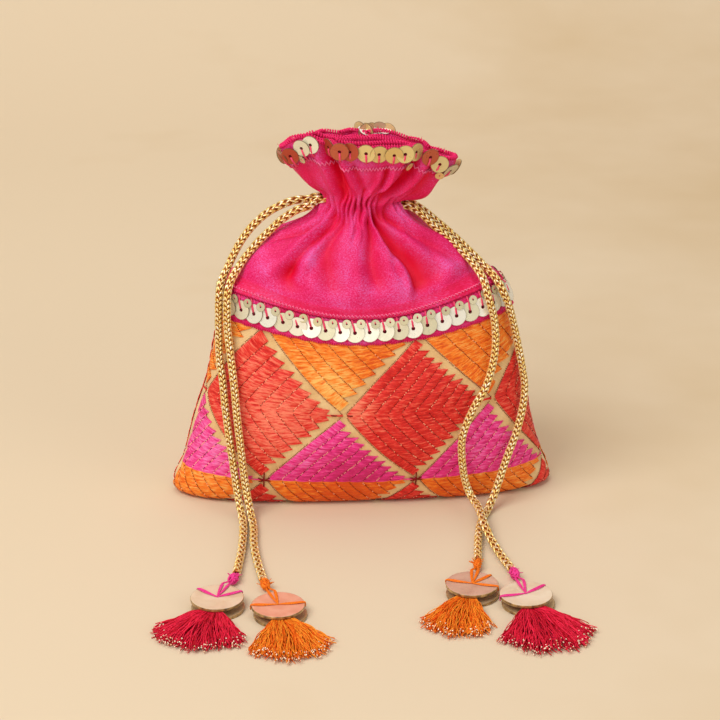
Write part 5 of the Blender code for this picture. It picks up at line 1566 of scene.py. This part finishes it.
# The front's sequins as the photo shows them: turn, how far below the rim in mm, and tint, from
# copper 0 over gold to champagne. In the middle they stand up over the rim
FRONT_SEQUINS = ((-0.234, 4.0, 0.02), (-0.212, 5.2, 0.05), (-0.175, 4.2, 0.74), (-0.148, 1.6, 0.68),
                 (-0.102, -0.8, 0.06), (-0.078, -0.6, 0.09), (-0.052, -0.2, 0.03), (-0.013, 0.4, 0.36),
                 (0.017, 0.9, 0.39), (0.055, 1.4, 0.34), (0.082, 1.4, 0.38), (0.109, 0.6, 0.4),
                 (0.147, 0.2, 0.08), (0.178, 2.6, 0.38), (0.214, 5.0, 0.47))
BACK_SEQUINS = tuple((0.262 + 0.0335 * k, 4.4, 0.36) for k in range(15))


def lace_offset(level, turn):
    """The lace is stiffer than the silk: it bridges the folds and follows only a part of them."""
    return silk_offset(level, turn) - 0.6 * broad_folds(level, turn)


def mouth_sequins():
    """The sequins of the mouth, the threads that hold them, the painted shadows in their holes and the
    sequins' tints.
    """
    turns, drops, tints = np.array(FRONT_SEQUINS + BACK_SEQUINS).T
    level = RIM_HEIGHT - np.maximum(drops / 1000.0, 0.001)
    rise = np.maximum(0.001 - drops / 1000.0, 0.0)
    bigs, big_at = sew_sequins(level, turns, MOUTH_SEQUIN, lace_offset, 0.0018, 0.04, 0.06, rise, lap=0.06)
    # Few small sequins are left at the mouth
    small = np.array((-0.183, 0.098, 0.197, 0.33, 0.6, 0.71))
    smalls, small_at = sew_sequins(RIM_HEIGHT - 0.009, small, SMALL_SEQUIN, silk_offset, 0.0026, 0.1, 0.1)
    # At the back a doubled stretch of lace stands up past the rim and shows over it from the front
    stood = np.linspace(0.45, 0.524, 6)
    backs, _ = sew_sequins(RIM_HEIGHT - 0.001, stood, MOUTH_SEQUIN, silk_offset, 0.003, -0.1, 0.08, 0.001)
    # Inside it a few small ones face up to the light, tinted near white as a painted reflection
    inner = np.linspace(0.452, 0.512, 5)
    inner_sequins_painted_white, _ = sew_sequins(RIM_HEIGHT, inner, INNER_SEQUIN, silk_offset, -0.0038, -2.1, 0.05, 0.0044)
    low_edge = level - 0.0058 + rise
    stems = merge_meshes([sew_stems(low_edge, turns, big_at, lace_offset, 0.00056, 0.0009),
                          sew_stems(MOUTH_TAPE, small, small_at, silk_offset, 0.0004, 0.0005)])
    hole_shadows = painted_hole_shadows(big_at, turns, RIM_HEIGHT - 0.0044, lace_offset, 0.00115)
    # The inner sequins' tint of 1 is near white: a painted reflection
    tints = np.concatenate(
        (tints, np.full(len(small), 0.42), np.full(len(stood), 0.45), np.full(len(inner), 1.0)))
    return merge_meshes([bigs, smalls, backs, inner_sequins_painted_white]), stems, hole_shadows, tints


(points, faces), stems, hole_shadows, tints = mouth_sequins()
mouth_lace = new_piece("mouth_sequins", points, faces, sequin_film, smooth=False)
mark_sequins(mouth_lace, np.clip(tints + wander.normal(0.0, 0.03, len(tints)), 0.0, 1.0))
join_frame(mouth_lace, "champagne_sequin", "mouth_trim")
join_frame(new_piece("mouth_sequin_threads", *stems, coral_sewing), "pink_thread")
join_frame(new_piece("mouth_sequin_knots", *hole_shadows, hole_shadow_thread), "pink_thread")

# %% Zigzag stitch under the lace
ZIGZAGS, ZIGZAG_HALF_HEIGHT = 110, 0.0009
turn = 0.75 + np.linspace(0.0, 1.0, 2 * ZIGZAGS + 1)
zigzag_level = MOUTH_TAPE - 0.0002 + ZIGZAG_HALF_HEIGHT * (-1.0) ** np.arange(len(turn))
zigzag = place(zigzag_level, turn, silk_offset(zigzag_level, turn) + 0.0005)
zigzag_thread = tube_mesh(zigzag, 0.00046, sides=5, facing=UP)
join_frame(new_piece("mouth_zigzag_stitch", *zigzag_thread, pale_sewing), "pink_thread")

# %% [markdown]
# ## Rim and facings
# The rim is overlocked, which gives it a ribbed, slightly furry edge. Inside it the frill has two
# facings, which lie nearly flat on each other because the mouth is almost closed. Each is another
# ring of silk, drawn in from the rim, with its own overlocked edge.

# %% Rim, facings and their edges
# The radius and pitch of the coils and the thread's radius, at the rim and at the facings' edges
RIM_WINDING = (0.00095, 0.00155, 0.00056)
rim_path = edge_path(RIM_HEIGHT, silk_offset, -0.0005)
rim_path[:, 2] += 0.0009
rim_thread = wound_thread(rim_path, *RIM_WINDING)
join_frame(new_piece("rim_overlock", *rim_thread, pink_sewing), "pink_thread", "mouth_binding")
# Each facing: its width and depth as shares of the mouth's, how far down it lies, and its cut width
FACINGS = {"outer_facing": (0.93, 0.64, 0.0003, 0.25), "inner_facing": (0.86, 0.28, -0.0004, 0.19)}
FACING_COLUMNS, FACING_ROWS, FACING_WALL, FACING_DEPTH = 220, 12, 0.0007, 0.013
MOUTH_MIDDLE = np.array((RIM_SHIFT, 0.0, 0.0))


def facing_place(level, turn, wide, deep, drop):
    """The frill's inside drawn towards the middle of the mouth."""
    base = place(level, turn, silk_offset(level, turn) - 0.0022)
    ruffle = 0.0009 * np.sin(2.0 * math.pi * (7.0 * turn + 3.0 * deep))
    drawn = MOUTH_MIDDLE + (base - MOUTH_MIDDLE) * np.array((wide, deep, 1.0))
    drawn[..., 1] += ruffle
    drawn[..., 2] -= drop
    return drawn


for name, (wide, deep, drop, cut_width) in FACINGS.items():
    def facing_point(u, v):
        return facing_place(share(RIM_HEIGHT - FACING_DEPTH, RIM_HEIGHT, v), 0.75 + u, wide, deep, drop)

    facing = wrap_cloth(
        name, FACING_COLUMNS, FACING_ROWS, facing_point, (cut_width, FACING_DEPTH), dupion, FACING_WALL)
    join_frame(facing, "pink_silk")
    edge_thread = wound_thread(facing_place(RIM_HEIGHT, AROUND, wide, deep, drop), *RIM_WINDING)
    join_frame(new_piece(name + "_overlock", *edge_thread, pink_sewing), "pink_thread")

# %% Frayed fibres
def frays(count):
    """Loose fibres that stand off the rim, and one long end that escapes beside the neck."""
    parts = []
    f = np.linspace(0.0, 1.0, 6)[:, None]
    for turn in wander.uniform(0.0, 1.0, count):
        root = place(RIM_HEIGHT, turn, silk_offset(RIM_HEIGHT, turn)).reshape(3)
        way = unit(wander.normal(0.0, 1.0, 3) * (1.0, 1.0, 0.4) + (0.0, 0.0, 1.0))
        curl = unit(np.cross(way, wander.normal(0.0, 1.0, 3)))
        length = wander.uniform(0.0012, 0.0038)
        parts.append(tube_mesh(root + way * length * f + curl * length * 0.4 * f ** 2, 0.00011, sides=3))
    start = place(0.166, -0.215, 0.0015).reshape(3)
    way = np.array((-0.0085, -0.001, 0.006))
    parts.append(tube_mesh(start + way * f + np.array((0.0, 0.0, -0.0012)) * f ** 2, 0.00013, sides=3))
    return merge_meshes(parts)


join_frame(new_piece("rim_frays", *frays(150), pink_sewing), "pink_thread")

# %% [markdown]
# ## Tassels
# Each cord end is whipped with thread into a lumpy knot. Two strands go from the knot over a pair of
# shell discs to their middle, and more thread is tied over the discs' edges. Between the discs a
# bundle of cut threads fans out over the table.

# %% Finishes of the tassels
TASSEL_COLOURS = {
    "left_outer": "pink", "left_inner": "orange", "right_inner": "pink", "right_outer": "orange"}
CUT_THREAD = {"pink": spun_thread("pink_tassel_thread", "#BE0420", "#F82A50", 0.55),
              "orange": spun_thread("orange_tassel_thread", "#E85C02", "#FFA430", 0.55)}
TIE_THREAD = {"pink": spun_thread("bright_pink_tie_thread", "#E01C7C", "#FF64B4", 0.5),
              "orange": CUT_THREAD["orange"]}


def polished_shell(name, face_dark, face_light):
    """Mother-of-pearl: a smooth lacquered face with cloudy bands, and a darker sawn edge."""
    made, tree, shader = start_material(
        name, Roughness=0.3, Coat_Weight=0.5, Coat_Roughness=0.1, Metallic=0.15)
    coords = add_node(tree, "TexCoord").outputs["Object"]
    cloud = add_node(tree, "TexNoise", {"Vector": coords, "Scale": 75.0, "Detail": 3.0, "Distortion": 0.9})
    face_tone = add_node(tree, "ValToRGB", {"Fac": cloud}, ramp=((0.3, face_dark), (0.7, face_light)))
    grain = add_node(tree, "TexNoise", {"Vector": coords, "Scale": 420.0, "Detail": 2.0})
    edge_tone = add_node(tree, "ValToRGB", {"Fac": grain}, ramp=((0.3, "#5A3A18"), (0.7, "#C8A060")))
    edge = add_node(tree, "Attribute", attribute_name="edge")
    both = add_node(tree, "Mix", {0: edge.outputs["Fac"], 6: face_tone, 7: edge_tone}, data_type="RGBA")
    feed(both.outputs[2], shader.inputs["Base Color"])
    return made


SHELL_FACES = {
    "left_outer": polished_shell("champagne_shell", "#D9BC9C", "#EBD5BC"),
    "left_inner": polished_shell("salmon_shell", "#DE9A7C", "#EDB79C"),
    "right_inner": polished_shell("pale_shell", "#DCC3A6", "#EDDCC6"),
    "right_outer": polished_shell("mauve_shell", "#C39A85", "#DDBBA4"),
}
lower_shell = polished_shell("brown_shell", "#A08058", "#C9AC84")

# %% One shell disc
DISC_SIDES, DISC_BEVEL = 72, 0.00035
# The face is dished in two rings, each a width and a depth
DISC_DISH = ((0.0012, 0.00012), (0.0045, 0.0001))
FRINGE_HEAD, LOWER_DISC_SLIP = 0.0022, 0.002
UPPER_DISC_FOOT = DISC_THICKNESS + FRINGE_HEAD + 2.0 * CLEARANCE
UPPER_DISC_TOP = UPPER_DISC_FOOT + DISC_THICKNESS


def turn_disc():
    """A disc with a soft rim and a slightly dished face, made from a cylinder."""
    bpy.ops.object.select_all(action="DESELECT")
    bpy.ops.mesh.primitive_cylinder_add(
        vertices=DISC_SIDES, radius=DISC_DIAMETER / 2.0, depth=DISC_THICKNESS)
    disc = bpy.context.object
    finish_with(disc, "BEVEL", width=DISC_BEVEL, segments=3, limit_method="ANGLE")
    edit_faces(disc, lambda face: face.normal.z > 0.99 and face.area > 1e-4)
    for width, depth in DISC_DISH:
        bpy.ops.mesh.inset(thickness=width, depth=-depth)
    bpy.ops.object.mode_set(mode="OBJECT")
    return mesh_arrays(disc)


disc_points, disc_faces = turn_disc()
disc_edge = (np.hypot(disc_points[:, 0], disc_points[:, 1]) > DISC_DIAMETER / 2.0 - 0.0002).astype(float)


def add_shell_disc(name, centre, foot, material, node):
    """A disc laid flat with its middle over a place, so far above the floor."""
    points = disc_points + np.array((*centre, foot + DISC_THICKNESS / 2.0))
    disc = new_piece(name, points, disc_faces, material)
    smooth_up_to(disc, 35.0)
    set_attribute(disc, "edge", disc_edge)
    return join_frame(disc, "pearl_disc", node)


# %% Wound knots
KNOT_TURNS, KNOT_ENDS = 20, 9


def raised(height):
    """So far straight up."""
    return np.array((0.0, 0.0, height))


def wound_knot(centre, towards):
    """A lump of thread turns at many angles, with a few cut ends that stick out of it."""
    up = raised(1.0)
    across = np.cross(up, towards)
    parts = []
    angle = np.linspace(0.0, 2.0 * math.pi, 21)[:, None]
    for _ in range(KNOT_TURNS):
        lean, swing = wander.uniform(-0.8, 0.8), wander.uniform(0.0, math.pi)
        first = math.cos(swing) * across + math.sin(swing) * up
        second = math.cos(lean) * towards + math.sin(lean) * np.cross(first, towards)
        size = wander.uniform(0.62, 1.0)
        middle = centre + towards * wander.uniform(-0.0016, 0.0016)
        ring = middle + 0.0024 * size * np.cos(angle) * first + 0.0031 * size * np.sin(angle) * second
        parts.append(tube_mesh(ring, 0.00052, sides=5, facing=unit(np.cross(first, second))))
    f = np.linspace(0.0, 1.0, 5)[:, None]
    for _ in range(KNOT_ENDS):
        way = unit(across * wander.normal(0.0, 1.0) + towards * wander.normal(0.0, 0.8)
                   + up * abs(wander.normal(0.0, 0.7)))
        curl = unit(np.cross(way, towards + up * 0.3))
        length = wander.uniform(0.0034, 0.0052)
        parts.append(tube_mesh(centre + way * length * f + curl * 0.001 * f ** 2, 0.0002, sides=4))
    return parts


# %% Ties over the discs
def tie_over(path, strands, spread, thread):
    """A few parallel threads along a path, pulled together at its ends."""
    path = smooth_route(path, 0.0009)
    f = np.linspace(0.0, 1.0, len(path))[:, None]
    _, face, cross = frames_along(path, UP)
    parts = []
    for k in range(strands):
        side = (k - (strands - 1) / 2.0) * spread
        spaced = path + cross * side * np.sin(math.pi * np.clip(f, 0.06, 0.94))
        waved = spaced + face * 0.00008 * np.sin(9.0 * f + 2.0 * k)
        parts.append(tube_mesh(waved, thread, sides=5, facing=UP))
    return parts


# Where thread crosses the upper disc's rim, in degrees from +X as seen from above
RIM_TIES = {"left_outer": (135.0, 22.0), "left_inner": (180.0, 5.0),
            "right_inner": (191.0, 38.0), "right_outer": (160.0, -20.0, 38.0)}


def tassel_ties(which):
    """The knot, its two strands to the middle of the discs, and the threads over their rim."""
    centre, knot_way = TASSELS[which][:2]
    middle = np.array((*centre, UPPER_DISC_TOP))
    back, towards = heading(knot_way), heading(knot_way + 180.0)
    ball = tie_start(which) + towards * KNOT_LENGTH * 0.48
    parts = wound_knot(ball, towards)
    radius = DISC_DIAMETER / 2.0
    for side in (-1.0, 1.0):
        sideways = heading(knot_way + 90.0) * side
        path = [ball + towards * 0.0025 + sideways * 0.0003,
                ball + towards * 0.008 + sideways * 0.0013 + raised(0.0012),
                middle + back * (radius + 0.0003) + sideways * 0.0017 + raised(0.0004),
                middle + back * radius * 0.5 + sideways * 0.001 + raised(0.0003),
                middle + raised(0.0001)]
        parts += tie_over(path, 4, 0.0004, 0.00026)
    # From the middle over the face and down past the rim: how far out and how high
    over_rim = ((0.0, 0.0001), (radius * 0.5, 0.0002), (radius - 0.0004, 0.0003),
                (radius + 0.0003, -0.0006), (radius + 0.0002, -0.0024))
    for degrees in RIM_TIES[which]:
        path = [middle + heading(degrees) * out + raised(up) for out, up in over_rim]
        parts += tie_over(path, 5, 0.00048, 0.00024)
    return merge_meshes(parts)


# %% Cut threads
FRINGE_ROOT, FRINGE_COVERED, FRINGE_BODY = 0.0085, 0.0085, 0.0064
FRINGE_THREADS, FRINGE_THREAD = 520, 0.00029
# The photo's fans aren't quite even: a turn in degrees, a share of the spread and one of the length
FAN_SHAPES = {"left_outer": (-4.0, 0.9, 1.0), "left_inner": (-1.0, 0.84, 1.0),
              "right_inner": (0.0, 0.92, 1.0), "right_outer": (5.0, 0.9, 0.9)}


def cut_threads(which):
    """A mop of cut threads, from between the discs out over the floor, with their tips."""
    centre, _, points_to, spread, length = TASSELS[which]
    turned, wide, long = FAN_SHAPES[which]
    root = np.array((*centre, 0.0)) + heading(points_to) * FRINGE_ROOT
    points_to, spread, length = points_to + turned, spread * wide, length * long
    narrow = heading(points_to + 90.0)
    f = np.linspace(0.0, 1.0, 13)
    parts, shades, tips = [], [], []
    clear = FRINGE_COVERED / length
    for k in range(FRINGE_THREADS):
        across = wander.uniform(-1.0, 1.0)
        across = math.copysign(abs(across) ** 0.85, across)
        layer = wander.uniform(0.0, 1.0) ** 0.7
        # Upper threads arch more and so end sooner, and locks of them share a length
        lock = 0.035 * math.sin(9.0 * across + 1.3 * points_to)
        own_share = wander.uniform(0.86, 1.0) - 0.1 * layer ** 3 + lock
        reach = length * (1.0 - 0.24 * across ** 2) * own_share
        degrees = points_to + across * spread + wander.normal(0.0, 7.0) * f ** 1.5
        degrees = degrees + 16.0 * np.sin(wander.uniform(7.0, 13.0) * f + wander.uniform(0.0, 6.3)) * f
        step = np.stack([heading(d) for d in degrees]) * reach / (len(f) - 1)
        path = root + narrow * across * 0.0035 + np.cumsum(step, axis=0) - step[0]
        crown = FRINGE_BODY * (1.0 - 0.3 * across ** 2)
        inside = DISC_THICKNESS + CLEARANCE + 0.0002 + layer * (FRINGE_HEAD - 0.0004)
        body = 0.0004 + layer * (crown - 0.0006)
        tip = 0.0004 + layer * crown * 0.34 + abs(wander.normal(0.0, 0.0006))
        rise = np.interp(f, (0.0, clear, clear + 0.2, 0.68, 0.86, 1.0),
                         (inside, inside, body, body * 0.94, body * 0.72, tip))
        path[:, 2] = np.maximum(rise + 0.00035 * np.sin(11.0 * f + k), 0.00035)
        parts.append(tube_mesh(path, FRINGE_THREAD * wander.uniform(0.8, 1.15), sides=3, facing=UP))
        # Painted shade: lower layers of thread are drawn darker, as shade under the upper ones; the rest of
        # the spread is random tone
        shades.append(np.full(len(parts[-1][0]), wander.uniform(-0.4, 0.45) + 0.3 * (layer - 0.7)))
        tips.append(path[-1])
    return merge_meshes(parts), np.concatenate(shades), np.array(tips)


# %% Pale tips of the threads
bpy.ops.object.select_all(action="DESELECT")
bpy.ops.mesh.primitive_ico_sphere_add(subdivisions=1, radius=1.0)
bead_points, bead_faces = mesh_arrays(bpy.context.object)
pale_tip, tree, shader = start_material("pale_metallic_tip", Metallic=0.5, Roughness=0.28)
coords = add_node(tree, "TexCoord").outputs["Object"]
sparkle = add_node(tree, "TexNoise", {"Vector": coords, "Scale": 350.0})
tip_tone = add_node(tree, "ValToRGB", {"Fac": sparkle}, ramp=((0.35, "#E9B98A"), (0.6, "#FFF0DA")))
feed(tip_tone, shader.inputs["Base Color"])

# %% Four tassels on their cords
TIPPED_SHARE = 0.26
for which, colour in TASSEL_COLOURS.items():
    centre, _, points_to = TASSELS[which][:3]
    slip = heading(points_to + 25.0)[:2] * LOWER_DISC_SLIP
    slot = colour + "_thread"
    lower = add_shell_disc(
        which + "_shell_disc_below", np.array(centre) + slip, 0.0, lower_shell, which + "_lower_disc")
    upper = add_shell_disc(
        which + "_shell_disc_above", centre, UPPER_DISC_FOOT, SHELL_FACES[which], which + "_upper_disc")
    ties = join_frame(
        new_piece(which + "_knot_and_ties", *tassel_ties(which), TIE_THREAD[colour]), slot, which + "_knot")
    threads, shades, tips = cut_threads(which)
    fringe = new_piece(which + "_cut_threads", *threads, CUT_THREAD[colour])
    set_attribute(fringe, "shade", shades)
    join_frame(fringe, slot, which + "_fringe")
    tipped = tips[wander.uniform(0.0, 1.0, len(tips)) < TIPPED_SHARE]
    axes = np.eye(3)[None] * wander.uniform(0.00036, 0.00056, len(tipped))[:, None, None]
    drops = repeat_mesh(bead_points, bead_faces, tipped + raised(0.0003), axes)
    beads = join_frame(new_piece(which + "_thread_tips", *drops, pale_tip), slot)

# %% [markdown]
# ## Finish
# Every piece is left deselected.

# %% Finish
for piece in bpy.data.objects:
    piece.select_set(False)
